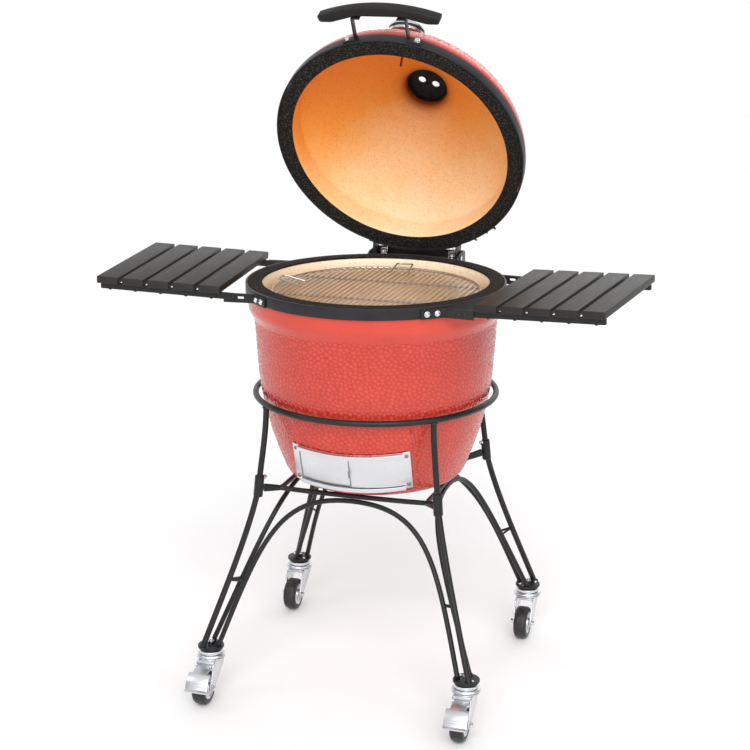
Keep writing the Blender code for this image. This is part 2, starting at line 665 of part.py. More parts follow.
def leg_mesh(sx, sy):
    """A rod from its socket down to a foot disc, with the spacer and plate that the caster turns under."""
    start = on_diagonal(SOCKET_RADIUS, SOCKET_Z, sx, sy)
    end = on_diagonal(LEG_FOOT, FOOT_Z + 0.0030, sx, sy)
    path = bezier(start, on_diagonal(SOCKET_RADIUS + 0.0200, 0.3645, sx, sy),
                  on_diagonal(LEG_FOOT - 0.0550, 0.2270, sx, sy), end, 7)
    lean = Vector(on_diagonal(0.0050, -0.0450, sx, sy))
    socket_top = Vector(start) - lean / 2
    socket = rod([socket_top, socket_top + lean], 0.0102, 12)
    disc = cylinder(FOOT_RADIUS, FOOT_THICK, (sx * FOOT_X, sy * FOOT_Y, FOOT_Z + FOOT_THICK / 2), "Z", 20)
    stack = [(0.0, 0.0010), (0.0170, 0.0010), (0.0170, 0.0040 - FOOT_STACK), (0.0255, 0.0040 - FOOT_STACK),
             (0.0255, -FOOT_STACK), (0.0, -FOOT_STACK)]
    spacer = moved(turned(stack, 20, closed=False), Matrix.Translation((sx * FOOT_X, sy * FOOT_Y, FOOT_Z)))
    nut = cylinder(0.0090, 0.0090, (sx * FOOT_X, sy * FOOT_Y, FOOT_Z + FOOT_THICK + 0.0040), "Z", 6)
    hole = rod([socket_top - lean * 0.2, socket_top + lean * 0.45], ROD + 0.0012, 12)
    return cut(union(rod(path, ROD), joined([socket, disc]), joined([nut, spacer])), hole)


def arch_mesh(reach_x, reach_y):
    """The front arch: two half curves from the apex under the cradle down to the foot discs."""
    foot_x = reach_x - 0.0190
    foot_y = reach_y + 0.0020
    foot_z = FOOT_Z + FOOT_THICK + GAP
    apex_y = CRADLE_REACH + 0.0010
    half = []
    for place in bezier((0.0, 0.0, ARCH_TOP), (0.1650, 0.0, ARCH_TOP),
                        (foot_x - 0.0720, 0.0, foot_z + 0.2280), (foot_x, 0.0, foot_z + 0.0004), 8):
        share = (ARCH_TOP - place.z) / (ARCH_TOP - foot_z)
        half.append(Vector((place.x, -(apex_y + share * (foot_y - apex_y)), place.z)))
    half[-1].z = foot_z + 0.0030
    path = [Vector((-p.x, p.y, p.z)) for p in reversed(half[1:])] + half
    return rod(path, ARCH_ROD, 6)


def cradle_mesh():
    """Four bars under the bowl whose ends run together towards the sockets."""
    pairs = []
    for quarter in range(2):
        lift = 0.0035 * (1 - 2 * quarter)
        bars = []
        for sy in (-1, 1):
            path = []
            for x, y, z in ((-0.1920, 0.1920, 0.4485), (-0.1720, 0.1735, 0.4440), (-0.1550, 0.1650, 0.4415),
                            (-0.0800, CRADLE_REACH, CRADLE_Z), (0.0800, CRADLE_REACH, CRADLE_Z),
                            (0.1550, 0.1650, 0.4415), (0.1720, 0.1735, 0.4440), (0.1920, 0.1920, 0.4485)):
                end_share = max(0.0, (abs(x) - 0.1500) / 0.0420)
                path.append((x, sy * y, z + lift * end_share))
            bars.append(rod(path, ARCH_ROD, 6))
        pairs.append(moved(joined(bars), Matrix.Rotation(quarter * pi / 2, 4, "Z")))
    return union(pairs[0], pairs[1])


# ---- Casters ----
def build_casters(parent, mats):
    fork = fork_mesh()
    wheel = wheel_mesh()
    pedal = pedal_mesh()
    for name, sx, sy in CORNERS:
        swivel = anchor(f"caster_swivel_{name}", (sx * FOOT_X, sy * FOOT_Y, 0.0), parent=parent)
        piece(f"caster_fork_{name}", fork.copy(), mats["zinc"], swivel)
        piece(f"caster_wheel_{name}", wheel.copy(), mats["tyre"], swivel, (0.0, -WHEEL_TRAIL, WHEEL_RADIUS))
        if sy < 0:
            piece(f"brake_pedal_{name}", pedal.copy(), mats["zinc"], swivel, PEDAL_PIVOT)


PEDAL_PIVOT = (0.0, -0.0320, 0.0805)   # from the caster's swivel axis, on the floor


def fork_mesh():
    top = FOOT_Z - GAP
    race = [(0.0, top), (0.0290, top), (0.0310, top - 0.0030), (0.0310, top - 0.0080), (0.0260, top - 0.0110),
            (0.0, top - 0.0110)]
    neck = top - 0.0100
    floor = neck - 0.0045
    wide = 0.0210
    outline = [(0.0220, neck), (0.0220, 0.0740), (-WHEEL_TRAIL + 0.0110, 0.0330), (-WHEEL_TRAIL, 0.0280),
               (-WHEEL_TRAIL - 0.0100, 0.0320), (-WHEEL_TRAIL - 0.0100, 0.0430), (-0.0420, 0.0740),
               (-0.0400, 0.0850), (-0.0300, neck)]
    yoke = upright(outline, 2 * wide, 0.0)
    slot = box((2 * wide - 0.0050, 0.2000, 0.2000), (0.0, 0.0, floor - 0.1000))
    yoke = union(cut(yoke, slot), turned(race, 16, closed=False))
    reach = 0.0285
    axle = [(0.0, reach), (0.0060, reach), (0.0060, wide - 0.0010), (AXLE_RADIUS, wide - 0.0010),
            (AXLE_RADIUS, -wide + 0.0010), (0.0060, -wide + 0.0010), (0.0060, -reach), (0.0, -reach)]
    bolt = turned(axle, 8, closed=False)
    lie = Matrix.Translation((0.0, -WHEEL_TRAIL, WHEEL_RADIUS)) @ Matrix.Rotation(pi / 2, 4, "Y")
    pivot_pin = cylinder(0.0022, 2 * wide + 0.0050, PEDAL_PIVOT, "X", 6)
    return union(yoke, moved(bolt, lie), pivot_pin)


def wheel_mesh():
    """A tyre on its hub, turned about X."""
    half = WHEEL_WIDTH / 2
    crown = WHEEL_RADIUS
    profile = [(crown - 0.0060, half), (crown, half - 0.0080), (crown, -half + 0.0080), (crown - 0.0060, -half),
               (0.0250, -half), (0.0230, -half + 0.0040), (0.0110, -half + 0.0040), (0.0100, -half - 0.0020),
               (AXLE_RADIUS + 0.0005, -half - 0.0020), (AXLE_RADIUS + 0.0005, half + 0.0020),
               (0.0100, half + 0.0020), (0.0110, half - 0.0040), (0.0230, half - 0.0040), (0.0250, half)]
    return moved(turned(profile, 20), Matrix.Rotation(pi / 2, 4, "Y"))


def pedal_mesh():
    """A guard that wraps over the front of the wheel, on a hub that turns on the pin above it."""
    centre_y = -WHEEL_TRAIL - PEDAL_PIVOT[1]
    centre_z = WHEEL_RADIUS - PEDAL_PIVOT[2]
    inner = WHEEL_RADIUS + 0.0040
    outer = inner + 0.0028

    def around(radius, degrees):
        angle = radians(degrees)
        return (centre_y + radius * cos(angle), centre_z + radius * sin(angle))

    arm = upright([(0.0040, 0.0036), around(outer, 100), around(outer, 125), around(inner, 125),
                   around(inner, 100), (0.0040, -0.0036)], 0.0340, 0.0)
    lip_y, lip_z = around(outer, 168)
    guard = upright([around(outer, 115), around(outer, 140), (lip_y, lip_z + 0.0020), (lip_y - 0.0070, lip_z),
                     (lip_y - 0.0070, lip_z - 0.0028), *(around(inner, a) for a in (170, 160, 150, 140, 128, 115))],
                    0.0500, 0.0)
    return cut(union(arm, guard), cylinder(0.0026, 0.1000, (0.0, 0.0, 0.0), "X", 6))


# ---- Whole object ----
clear_scene()
PARTS = new_collection("kamado_grill")

MATERIALS = {
    "glaze": material("glaze_red", (0.52, 0.045, 0.025), 0.25),
    "firebrick": material("firebrick", (0.80, 0.62, 0.42), 0.85),
    "felt": material("gasket_felt", (0.02, 0.02, 0.02), 0.95),
    "band": material("band_steel", (0.03, 0.032, 0.04), 0.45, 0.4),
    "slat": material("slat_moulding", (0.045, 0.040, 0.040), 0.55),
    "handle": material("handle_moulding", (0.03, 0.03, 0.03), 0.5),
    "steel_black": material("black_powder_coat", (0.015, 0.015, 0.017), 0.45, 0.3),
    "steel": material("grate_steel", (0.60, 0.58, 0.55), 0.35, 1.0),
    "chrome": material("chrome", (0.80, 0.80, 0.82), 0.15, 1.0),
    "bright": material("door_steel", (0.75, 0.76, 0.78), 0.3, 1.0),
    "cast": material("cast_metal", (0.03, 0.03, 0.03), 0.6, 0.5),
    "zinc": material("zinc_plate", (0.72, 0.74, 0.77), 0.3, 1.0),
    "tyre": material("tyre_rubber", (0.02, 0.02, 0.02), 0.7),
}


def build_grill():
    floor = anchor("floor", (0.0, AXIS_Y, 0.0))
    axis = anchor("grill_axis", (0.0, 0.0, FOOT_STACK), parent=floor)
    lid_pivot = anchor("lid_pivot", (0.0, HINGE_Y, HINGE_Z), (-radians(LID_OPEN), 0.0, 0.0), axis)
    build_base(axis, MATERIALS)
    build_inside(axis, MATERIALS)
    build_door(axis, MATERIALS)
    build_lid(lid_pivot, MATERIALS)
    build_hinge(axis, lid_pivot, MATERIALS)
    build_springs(axis, MATERIALS)
    for side, sx in SIDES:
        build_shelf(side, sx, axis, MATERIALS)
    build_stand(axis, MATERIALS)
    build_casters(floor, MATERIALS)


build_grill()
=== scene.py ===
"""Looks for the kamado ceramic grill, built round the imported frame. Metres, +Z up, front -Y."""

import json
import random
from math import atan2, cos, hypot, pi, radians, sin, sqrt, tau

import bmesh
import bpy
import numpy as np
from mathutils import Matrix, Vector
from mathutils.kdtree import KDTree


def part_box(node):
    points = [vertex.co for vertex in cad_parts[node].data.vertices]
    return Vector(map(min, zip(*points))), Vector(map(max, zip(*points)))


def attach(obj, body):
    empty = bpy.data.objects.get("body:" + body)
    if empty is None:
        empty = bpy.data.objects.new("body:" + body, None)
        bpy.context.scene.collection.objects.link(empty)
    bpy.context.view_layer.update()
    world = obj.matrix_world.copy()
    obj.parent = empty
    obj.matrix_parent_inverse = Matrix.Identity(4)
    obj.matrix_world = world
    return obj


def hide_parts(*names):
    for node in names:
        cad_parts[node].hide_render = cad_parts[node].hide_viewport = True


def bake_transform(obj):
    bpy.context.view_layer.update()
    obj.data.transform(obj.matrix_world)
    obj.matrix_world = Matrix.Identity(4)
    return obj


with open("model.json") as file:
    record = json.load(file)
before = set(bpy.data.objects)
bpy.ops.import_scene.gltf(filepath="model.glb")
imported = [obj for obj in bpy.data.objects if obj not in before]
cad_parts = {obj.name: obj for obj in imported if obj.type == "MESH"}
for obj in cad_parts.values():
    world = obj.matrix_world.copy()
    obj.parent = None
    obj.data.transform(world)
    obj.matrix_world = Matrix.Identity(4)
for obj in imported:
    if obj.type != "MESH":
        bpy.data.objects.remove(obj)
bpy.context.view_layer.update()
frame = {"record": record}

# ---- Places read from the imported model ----
JOINTS = {joint["name"]: joint for joint in frame["record"]["behaviour"]["joints"]}
RIM_LOW, RIM_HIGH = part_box("base_gasket")
AXIS_Y = (RIM_LOW[1] + RIM_HIGH[1]) / 2
# The grill is drawn with its feet on the caster tops, and the plates between them lift it by this much.
FOOT_STACK = 0.0118
RIM_Z = RIM_HIGH[2] - FOOT_STACK
LID_HINGE = Vector(JOINTS["lid_hinge"]["pos_m"])
LID_OPEN = JOINTS["lid_hinge"]["range_deg"][1]

GAP = 0.0004
RIM_INNER = 0.2457
RIM_OUTER = 0.2768
BAND_OUTER = 0.282
BAND_HEIGHT = 0.024
BAND_WALL = 0.0045
GASKET = 0.004

FLOOR = Matrix.Translation((0, AXIS_Y, 0))
GRILL = Matrix.Translation((0, AXIS_Y, FOOT_STACK))
PIVOT = Matrix.Translation(LID_HINGE)
LID = PIVOT @ Matrix.Rotation(-radians(LID_OPEN), 4, "X") @ PIVOT.inverted() @ GRILL

SIDES = (("left", -1), ("right", 1))
ENDS = (("front", -1), ("rear", 1))
CORNERS = [(f"{end}_{side}", sx, sy) for end, sy in ENDS for side, sx in SIDES]


# ---- Node materials ----
class Shader:
    """A material's node tree, with short calls for the nodes that are used here."""

    def __init__(self, name, color=(0.8, 0.8, 0.8), roughness=0.5, metallic=0, **sockets):
        self.mat = bpy.data.materials.new(name)
        self.mat.use_nodes = True
        self.tree = self.mat.node_tree
        self.bsdf = self.tree.nodes["Principled BSDF"]
        self.bsdf.inputs["Base Color"].default_value = (*color, 1)
        self.bsdf.inputs["Roughness"].default_value = roughness
        self.bsdf.inputs["Metallic"].default_value = metallic
        for socket, value in sockets.items():
            self.bsdf.inputs[socket.replace("_", " ")].default_value = value
        self.place = self.node("ShaderNodeTexCoord").outputs["Object"]
        self.last_bump = None

    def node(self, kind, **settings):
        made = self.tree.nodes.new(kind)
        for key, value in settings.items():
            setattr(made, key, value)
        return made

    def link(self, source, target):
        self.tree.links.new(source, target)

    def stretch(self, scale):
        mapping = self.node("ShaderNodeMapping")
        mapping.inputs["Scale"].default_value = scale
        self.link(self.place, mapping.inputs["Vector"])
        return mapping.outputs["Vector"]

    def noise(self, scale, detail=3, rough=0.5, vector=None):
        made = self.node("ShaderNodeTexNoise")
        made.inputs["Scale"].default_value = scale
        made.inputs["Detail"].default_value = detail
        made.inputs["Roughness"].default_value = rough
        self.link(vector or self.place, made.inputs["Vector"])
        return made.outputs["Fac"]

    def cells(self, scale):
        made = self.node("ShaderNodeTexVoronoi")
        made.inputs["Scale"].default_value = scale
        self.link(self.place, made.inputs["Vector"])
        return made.outputs["Distance"]

    def ramp(self, source, stops):
        made = self.node("ShaderNodeValToRGB")
        elements = made.color_ramp.elements
        while len(elements) < len(stops):
            elements.new(0.5)
        for element, (place, color) in zip(elements, stops):
            element.position = place
            element.color = color if len(color) == 4 else (*color, 1)
        self.link(source, made.inputs["Fac"])
        return made.outputs["Color"]

    def span(self, source, low, high, to_low=0, to_high=1):
        made = self.node("ShaderNodeMapRange")
        for key, value in (("From Min", low), ("From Max", high), ("To Min", to_low), ("To Max", to_high)):
            made.inputs[key].default_value = value
        self.link(source, made.inputs["Value"])
        return made.outputs["Result"]

    def math(self, operation, a, b):
        made = self.node("ShaderNodeMath", operation=operation)
        for socket, value in zip(made.inputs, (a, b)):
            if isinstance(value, (int, float)):
                socket.default_value = value
            else:
                self.link(value, socket)
        return made.outputs["Value"]

    def mix(self, share, a, b, blend="MIX"):
        made = self.node("ShaderNodeMix", data_type="RGBA", blend_type=blend)
        for socket, value in ((made.inputs[0], share), (made.inputs[6], a), (made.inputs[7], b)):
            if isinstance(value, (int, float)):
                socket.default_value = value
            elif isinstance(value, tuple):
                socket.default_value = (*value, 1)
            else:
                self.link(value, socket)
        return made.outputs[2]

    def axis(self, name):
        made = self.node("ShaderNodeSeparateXYZ")
        self.link(self.place, made.inputs["Vector"])
        return made.outputs[name]

    def attribute(self, name):
        return self.node("ShaderNodeAttribute", attribute_name=name).outputs["Fac"]

    def color(self, source):
        self.link(source, self.bsdf.inputs["Base Color"])
        return self

    def roughness(self, source):
        self.link(source, self.bsdf.inputs["Roughness"])
        return self

    def bump(self, height, distance, strength=1):
        made = self.node("ShaderNodeBump")
        made.inputs["Distance"].default_value = distance
        made.inputs["Strength"].default_value = strength
        self.link(height, made.inputs["Height"])
        if self.last_bump:
            self.link(self.last_bump, made.inputs["Normal"])
        self.last_bump = made.outputs["Normal"]
        self.link(self.last_bump, self.bsdf.inputs["Normal"])
        return self


def glaze_material():
    s = Shader("red_glaze", roughness=0.16, Coat_Weight=0.16, Coat_Roughness=0.05, Specular_IOR_Level=0.46)
    relief = s.attribute("relief")
    broad = s.noise(5, 4, 0.55)
    fine = s.noise(170, 3, 0.6)
    body = s.ramp(broad, [(0.32, (0.55, 0.043, 0.026)), (0.55, (0.6, 0.052, 0.031)),
                          (0.75, (0.64, 0.061, 0.037))])
    # Pebble valleys are darker: partly glaze pooling in the hollows, partly painted shade between the
    # pebbles.
    pooled_and_shaded = s.mix(s.span(relief, 0, 0.5, 0.46, 0), body, (0.26, 0.009, 0.006))
    s.color(s.mix(s.span(fine, 0.55, 0.8, 0, 0.15), pooled_and_shaded, (0.42, 0.03, 0.018)))
    s.roughness(s.span(s.noise(40, 3), 0.3, 0.7, 0.1, 0.2))
    s.bump(s.noise(130, 2), 0.0016, 0.45)
    s.bump(s.noise(260, 2), 0.0006, 0.3)
    return s.mat


def inside_material():
    """The lid's inside: warm orange at the front, cream near the hinge, speckled, and darker in the chimney,
    partly soot and partly painted shade in the bore.
    """
    s = Shader("inside_glaze", roughness=0.42, Specular_IOR_Level=0.35)
    broad = s.noise(6, 4, 0.6)
    along = s.math("ADD", s.attribute("to_back"), s.span(broad, 0.25, 0.75, -0.1, 0.1))
    tone = s.ramp(along, [(0, (0.95, 0.22, 0.03)), (0.28, (0.97, 0.29, 0.04)), (0.52, (0.97, 0.38, 0.062)),
                          (0.78, (0.96, 0.58, 0.26)), (1, (0.95, 0.72, 0.47))])
    # Painted shade and soot: the chimney bore and the mouth round it are darkened towards brown-red.
    soot_and_shade = s.ramp(s.attribute("chimney"), [(0, (0, 0, 0)), (0.55, (0.25, 0.25, 0.25)), (1, (1, 1, 1))])
    sooty_and_shaded = s.mix(soot_and_shade, tone, (0.34, 0.085, 0.014))
    speck = s.ramp(s.cells(300), [(0, (1, 1, 1)), (0.2, (0.8, 0.8, 0.8)), (0.38, (0, 0, 0))])
    choose = s.ramp(s.noise(120, 2), [(0.38, (0, 0, 0)), (0.56, (1, 1, 1))])
    share = s.mix(1, speck, choose, "MULTIPLY")
    s.color(s.mix(s.mix(1, share, (0.62, 0.62, 0.62), "MULTIPLY"), sooty_and_shaded, (0.36, 0.13, 0.035)))
    s.roughness(s.span(s.noise(60), 0.3, 0.7, 0.34, 0.52))
    s.bump(s.noise(150, 3), 0.0008, 0.3)
    return s.mat


def bowl_inside_material():
    s = Shader("bowl_inside_glaze", roughness=0.45, Specular_IOR_Level=0.35)
    # Painted shade: darker and browner towards the bottom of the bowl, lightest near the rim.
    high = s.span(s.axis("Z"), 0.47, 0.88)
    tone = s.ramp(s.math("ADD", high, s.span(s.noise(9, 4), 0.3, 0.7, -0.12, 0.12)),
                  [(0, (0.55, 0.34, 0.19)), (0.6, (0.9, 0.66, 0.42)), (0.95, (0.95, 0.81, 0.61))])
    speck = s.ramp(s.noise(320, 2), [(0.62, (0, 0, 0)), (0.72, (0.7, 0.7, 0.7))])
    s.color(s.mix(speck, tone, (0.3, 0.12, 0.04)))
    s.bump(s.noise(150, 3), 0.0008, 0.3)
    return s.mat


def firebrick_material():
    s = Shader("firebrick", roughness=0.8, Specular_IOR_Level=0.25)
    tone = s.ramp(s.noise(7, 5, 0.6), [(0.3, (0.78, 0.52, 0.29)), (0.5, (0.88, 0.66, 0.42)),
                                           (0.72, (0.93, 0.78, 0.57))])
    stain = s.ramp(s.noise(16, 5, 0.65), [(0.55, (0, 0, 0)), (0.8, (0.35, 0.35, 0.35))])
    pits = s.ramp(s.cells(260), [(0, (1, 1, 1)), (0.16, (0, 0, 0))])
    s.color(s.mix(pits, s.mix(stain, tone, (0.2, 0.09, 0.04)), (0.22, 0.11, 0.05)))
    s.bump(s.noise(90, 6, 0.65), 0.0015, 0.55)
    s.bump(s.cells(260), 0.001, 0.35)
    return s.mat


def felt_material():
    """Black woven felt with pale fibre ends."""
    s = Shader("gasket_felt", roughness=0.92, Specular_IOR_Level=0.2)
    fibres = s.ramp(s.noise(460, 2, 0.7), [(0.57, (0, 0, 0)), (0.66, (1, 1, 1))])
    tone = s.ramp(s.noise(240, 3), [(0.35, (0.004, 0.0035, 0.003)), (0.7, (0.014, 0.012, 0.01))])
    s.color(s.mix(fibres, tone, (0.12, 0.105, 0.09)))
    s.bump(s.noise(700, 3, 0.7), 0.0012, 0.9)
    s.bump(s.cells(380), 0.001, 0.5)
    return s.mat


def paint_material(name, dark, light, roughness, grain=420):
    """Powder coat or satin paint: fine orange peel, faint tone changes and rubbed high spots."""
    s = Shader(name, roughness=roughness, Specular_IOR_Level=0.32)
    tone = s.ramp(s.noise(18, 4, 0.6), [(0.35, dark), (0.7, light)])
    worn = s.ramp(s.noise(75, 5, 0.7), [(0.66, (0, 0, 0)), (0.8, (0.35, 0.35, 0.35))])
    s.color(s.mix(worn, tone, tuple(min(1, c * 2.2 + 0.01) for c in light)))
    s.roughness(s.span(s.noise(30, 4), 0.3, 0.7, roughness - 0.06, roughness + 0.09))
    s.bump(s.noise(grain, 2), 0.0005, 0.3)
    return s.mat


def slat_material():
    """Moulded composite with a faint wood grain along the slat."""
    s = Shader("slat_composite", roughness=0.5, Specular_IOR_Level=0.34)
    along = s.stretch((1, 0.045, 1))
    grain = s.noise(260, 4, 0.6, along)
    tone = s.ramp(grain, [(0.3, (0.009, 0.0075, 0.0068)), (0.55, (0.018, 0.015, 0.0135)),
                          (0.8, (0.034, 0.029, 0.026))])
    s.color(s.mix(s.span(s.noise(5), 0.35, 0.65, 0, 0.35), tone, (0.022, 0.0185, 0.0165)))
    s.roughness(s.span(grain, 0.3, 0.7, 0.42, 0.58))
    s.bump(grain, 0.0006, 0.45)
    return s.mat


def metal_material(name, color, roughness, scale=(1, 1, 1), grain=500, spread=0.1):
    """Bare metal, with its brushing drawn out along the axis that has the small scale."""
    s = Shader(name, roughness=roughness, metallic=1)
    lines = s.noise(grain, 3, 0.6, s.stretch(scale))
    cloud = s.noise(14, 4, 0.6)
    s.color(s.mix(s.span(cloud, 0.3, 0.7, 0, 0.3), color, tuple(c * 0.82 for c in color)))
    s.roughness(s.math("ADD", s.span(lines, 0.25, 0.75, roughness - spread / 2, roughness + spread / 2),
                       s.span(cloud, 0.3, 0.7, -0.03, 0.05)))
    s.bump(lines, 0.00025, 0.35)
    return s.mat


def cast_material():
    s = Shader("cast_iron", roughness=0.68, metallic=0.35, Specular_IOR_Level=0.4)
    tone = s.ramp(s.noise(60, 4), [(0.35, (0.01, 0.01, 0.011)), (0.75, (0.03, 0.029, 0.029))])
    s.color(tone)
    s.bump(s.noise(420, 4, 0.6), 0.001, 0.7)
    return s.mat


def tyre_material():
    s = Shader("tyre_rubber", roughness=0.45, Specular_IOR_Level=0.5)
    dust = s.ramp(s.noise(55, 5, 0.65), [(0.45, (0.01, 0.01, 0.01)), (0.85, (0.045, 0.043, 0.04))])
    s.color(dust)
    s.roughness(s.span(s.noise(30), 0.3, 0.7, 0.34, 0.56))
    s.bump(s.noise(600, 2), 0.0004, 0.4)
    return s.mat


def plain_detail_material(name, color, roughness):
    """For small printed or enamelled faces: a faint mottling keeps them from being one flat tone."""
    s = Shader(name, roughness=roughness)
    s.color(s.mix(s.span(s.noise(120, 3), 0.3, 0.7, 0, 0.25), color, tuple(c * 0.86 for c in color)))
    s.bump(s.noise(500, 2), 0.0003, 0.2)
    return s.mat


MAT = {
    "glaze": glaze_material(),
    "lid_inside": inside_material(),
    "bowl_inside": bowl_inside_material(),
    "firebrick": firebrick_material(),
    "felt": felt_material(),
    "band": paint_material("band_paint", (0.012, 0.012, 0.015), (0.02, 0.02, 0.025), 0.4, 300),
    "steel_black": paint_material("black_powder_coat", (0.01, 0.01, 0.011), (0.018, 0.018, 0.019), 0.36),
    "handle": paint_material("handle_composite", (0.008, 0.007, 0.006), (0.013, 0.011, 0.01), 0.52, 220),
    "slat": slat_material(),
    "wire": metal_material("grate_steel", (0.56, 0.54, 0.52), 0.3, spread=0.14),
    "chrome": metal_material("bolt_chrome", (0.8, 0.8, 0.82), 0.16, spread=0.06),
    "bright": metal_material("brushed_stainless", (0.76, 0.77, 0.79), 0.3, (0.05, 0.05, 1), 900),
    "screw": metal_material("screw_steel", (0.3, 0.31, 0.32), 0.3, spread=0.12),
    "zinc": metal_material("zinc_plate", (0.72, 0.74, 0.77), 0.34, spread=0.18),
    "stem": metal_material("heat_tinted_stem", (0.2, 0.13, 0.09), 0.38),
    "cast": cast_material(),
    "tyre": tyre_material(),
    "dial": plain_detail_material("dial_white", (0.8, 0.79, 0.76), 0.4),
    "print": plain_detail_material("dial_black", (0.015, 0.015, 0.016), 0.45),
    "needle": plain_detail_material("needle_red", (0.55, 0.03, 0.02), 0.4),
}


# ---- Mesh makers ----
def mesh_of(points, faces):
    mesh = bpy.data.meshes.new("mesh")
    mesh.from_pydata([tuple(p) for p in points], [], [tuple(f) for f in faces])
    mesh.validate()
    bm = bmesh.new()
    bm.from_mesh(mesh)
    bmesh.ops.recalc_face_normals(bm, faces=bm.faces)
    bm.to_mesh(mesh)
    bm.free()
    return mesh


def joined(meshes):
    bm = bmesh.new()
    for mesh in meshes:
        bm.from_mesh(mesh)
    result = bpy.data.meshes.new("joined")
    bm.to_mesh(result)
    bm.free()
    return result


def placed(mesh, matrix):
    mesh.transform(matrix)
    return mesh


def at(x, y, z):
    return Matrix.Translation((x, y, z))


def spun(degrees, axis="Z"):
    return Matrix.Rotation(radians(degrees), 4, axis)


def circle(radius, z, count):
    return [(radius * cos(tau * k / count), radius * sin(tau * k / count), z) for k in range(count)]


def rounded(points, radius, steps=4, closed=False):
    """The points of a polygon or path in 2-D or 3-D with each corner turned into a small arc."""
    pts = [Vector((*p, 0)) if len(p) == 2 else Vector(p) for p in points]
    size = len(points[0])
    result = []
    count = len(pts)
    for i, corner in enumerate(pts):
        if not closed and i in (0, count - 1):
            result.append(corner)
            continue
        before = pts[i - 1] - corner
        after = pts[(i + 1) % count] - corner
        reach = min(radius, before.length * 0.45, after.length * 0.45)
        start = corner + before.normalized() * reach
        end = corner + after.normalized() * reach
        for k in range(steps + 1):
            t = k / steps
            result.append(start * (1 - t) ** 2 + corner * 2 * t * (1 - t) + end * t ** 2)
    return [tuple(p)[:size] for p in result]


def smooth_path(points, steps):
    """A Catmull-Rom curve through the points."""
    pts = [Vector((*p, 0)) if len(p) == 2 else Vector(p) for p in points]
    size = len(points[0])
    result = []
    for i in range(len(pts) - 1):
        p0, p1, p2, p3 = pts[max(i - 1, 0)], pts[i], pts[i + 1], pts[min(i + 2, len(pts) - 1)]
        for k in range(steps):
            t = k / steps
            result.append(0.5 * (2 * p1 + (p2 - p0) * t + (2 * p0 - 5 * p1 + 4 * p2 - p3) * t * t
                                 + (3 * p1 - p0 - 3 * p2 + p3) * t ** 3))
    result.append(pts[-1])
    return [tuple(p)[:size] for p in result]


def bezier(start, start_handle, end_handle, end, count):
    places = []
    for i in range(count + 1):
        t = i / count
        weights = ((1 - t) ** 3, 3 * (1 - t) ** 2 * t, 3 * (1 - t) * t ** 2, t ** 3)
        places.append(sum((w * Vector(p) for w, p in zip(weights, (start, start_handle, end_handle, end))),
                          Vector((0, 0, 0))))
    return places


def lathe(profile, steps=128, closed=True, angles=None):
    """A profile of (radius, height) points turned about Z. An open profile may start and end on the axis."""
    angles = angles if angles is not None else [tau * i / steps for i in range(steps)]
    count = len(angles)
    points, rings = [], []
    for radius, z in profile:
        if radius < 1e-7:
            rings.append([len(points)] * count)
            points.append((0, 0, z))
        else:
            rings.append(list(range(len(points), len(points) + count)))
            points += [(radius * cos(a), radius * sin(a), z) for a in angles]
    faces = []
    last = len(profile) if closed else len(profile) - 1
    for i in range(last):
        low, high = rings[i], rings[(i + 1) % len(profile)]
        for k in range(count):
            n = (k + 1) % count
            face = [low[k], low[n], high[n], high[k]]
            face = [v for j, v in enumerate(face) if v != face[j - 1]]
            if len(face) > 2:
                faces.append(face)
    return mesh_of(points, faces)


def drum(radius, start, end, steps):
    """A solid cylinder on Z."""
    return lathe([(0, start), (radius, start), (radius, end), (0, end)], steps, closed=False)


def pipe(path, radius, sides=16, closed=False):
    """A round rod along a path, with closed and slightly rounded ends."""
    pts = [Vector(p) for p in path]
    count = len(pts)
    tangents = []
    for i in range(count):
        before = pts[i - 1] if closed or i else pts[0]
        after = pts[(i + 1) % count] if closed or i < count - 1 else pts[-1]
        tangents.append((after - before).normalized())
    normal = tangents[0].orthogonal().normalized()
    radii = radius if isinstance(radius, (list, tuple)) else [radius] * count
    rows = []
    for i in range(count):
        if i:
            normal = tangents[i - 1].rotation_difference(tangents[i]) @ normal
        other = tangents[i].cross(normal)
        rows.append((pts[i], normal.copy(), other, radii[i]))
    if not closed:
        small = radii[0] * 0.18
        first, last = rows[0], rows[-1]
        inner = (first[0] + tangents[0] * small, first[1], first[2], first[3])
        outer = (last[0] - tangents[-1] * small, last[1], last[2], last[3])
        rows = ([(first[0], first[1], first[2], first[3] - small), inner] + rows[1:-1]
                + [outer, (last[0], last[1], last[2], last[3] - small)])
    points, faces = [], []
    for centre, n, o, r in rows:
        points += [centre + r * (cos(tau * k / sides) * n + sin(tau * k / sides) * o) for k in range(sides)]
    total = len(rows)
    for i in range(total if closed else total - 1):
        a, b = i * sides, ((i + 1) % total) * sides
        shift = 0
        if closed and i == total - 1:
            gaps = [(points[a] - points[b + k]).length for k in range(sides)]
            shift = gaps.index(min(gaps))
        for k in range(sides):
            n = (k + 1) % sides
            faces.append((a + k, a + n, b + (n + shift) % sides, b + (k + shift) % sides))
    if not closed:
        faces.append(tuple(range(sides))[::-1])
        faces.append(tuple((total - 1) * sides + k for k in range(sides)))
    return mesh_of(points, faces)


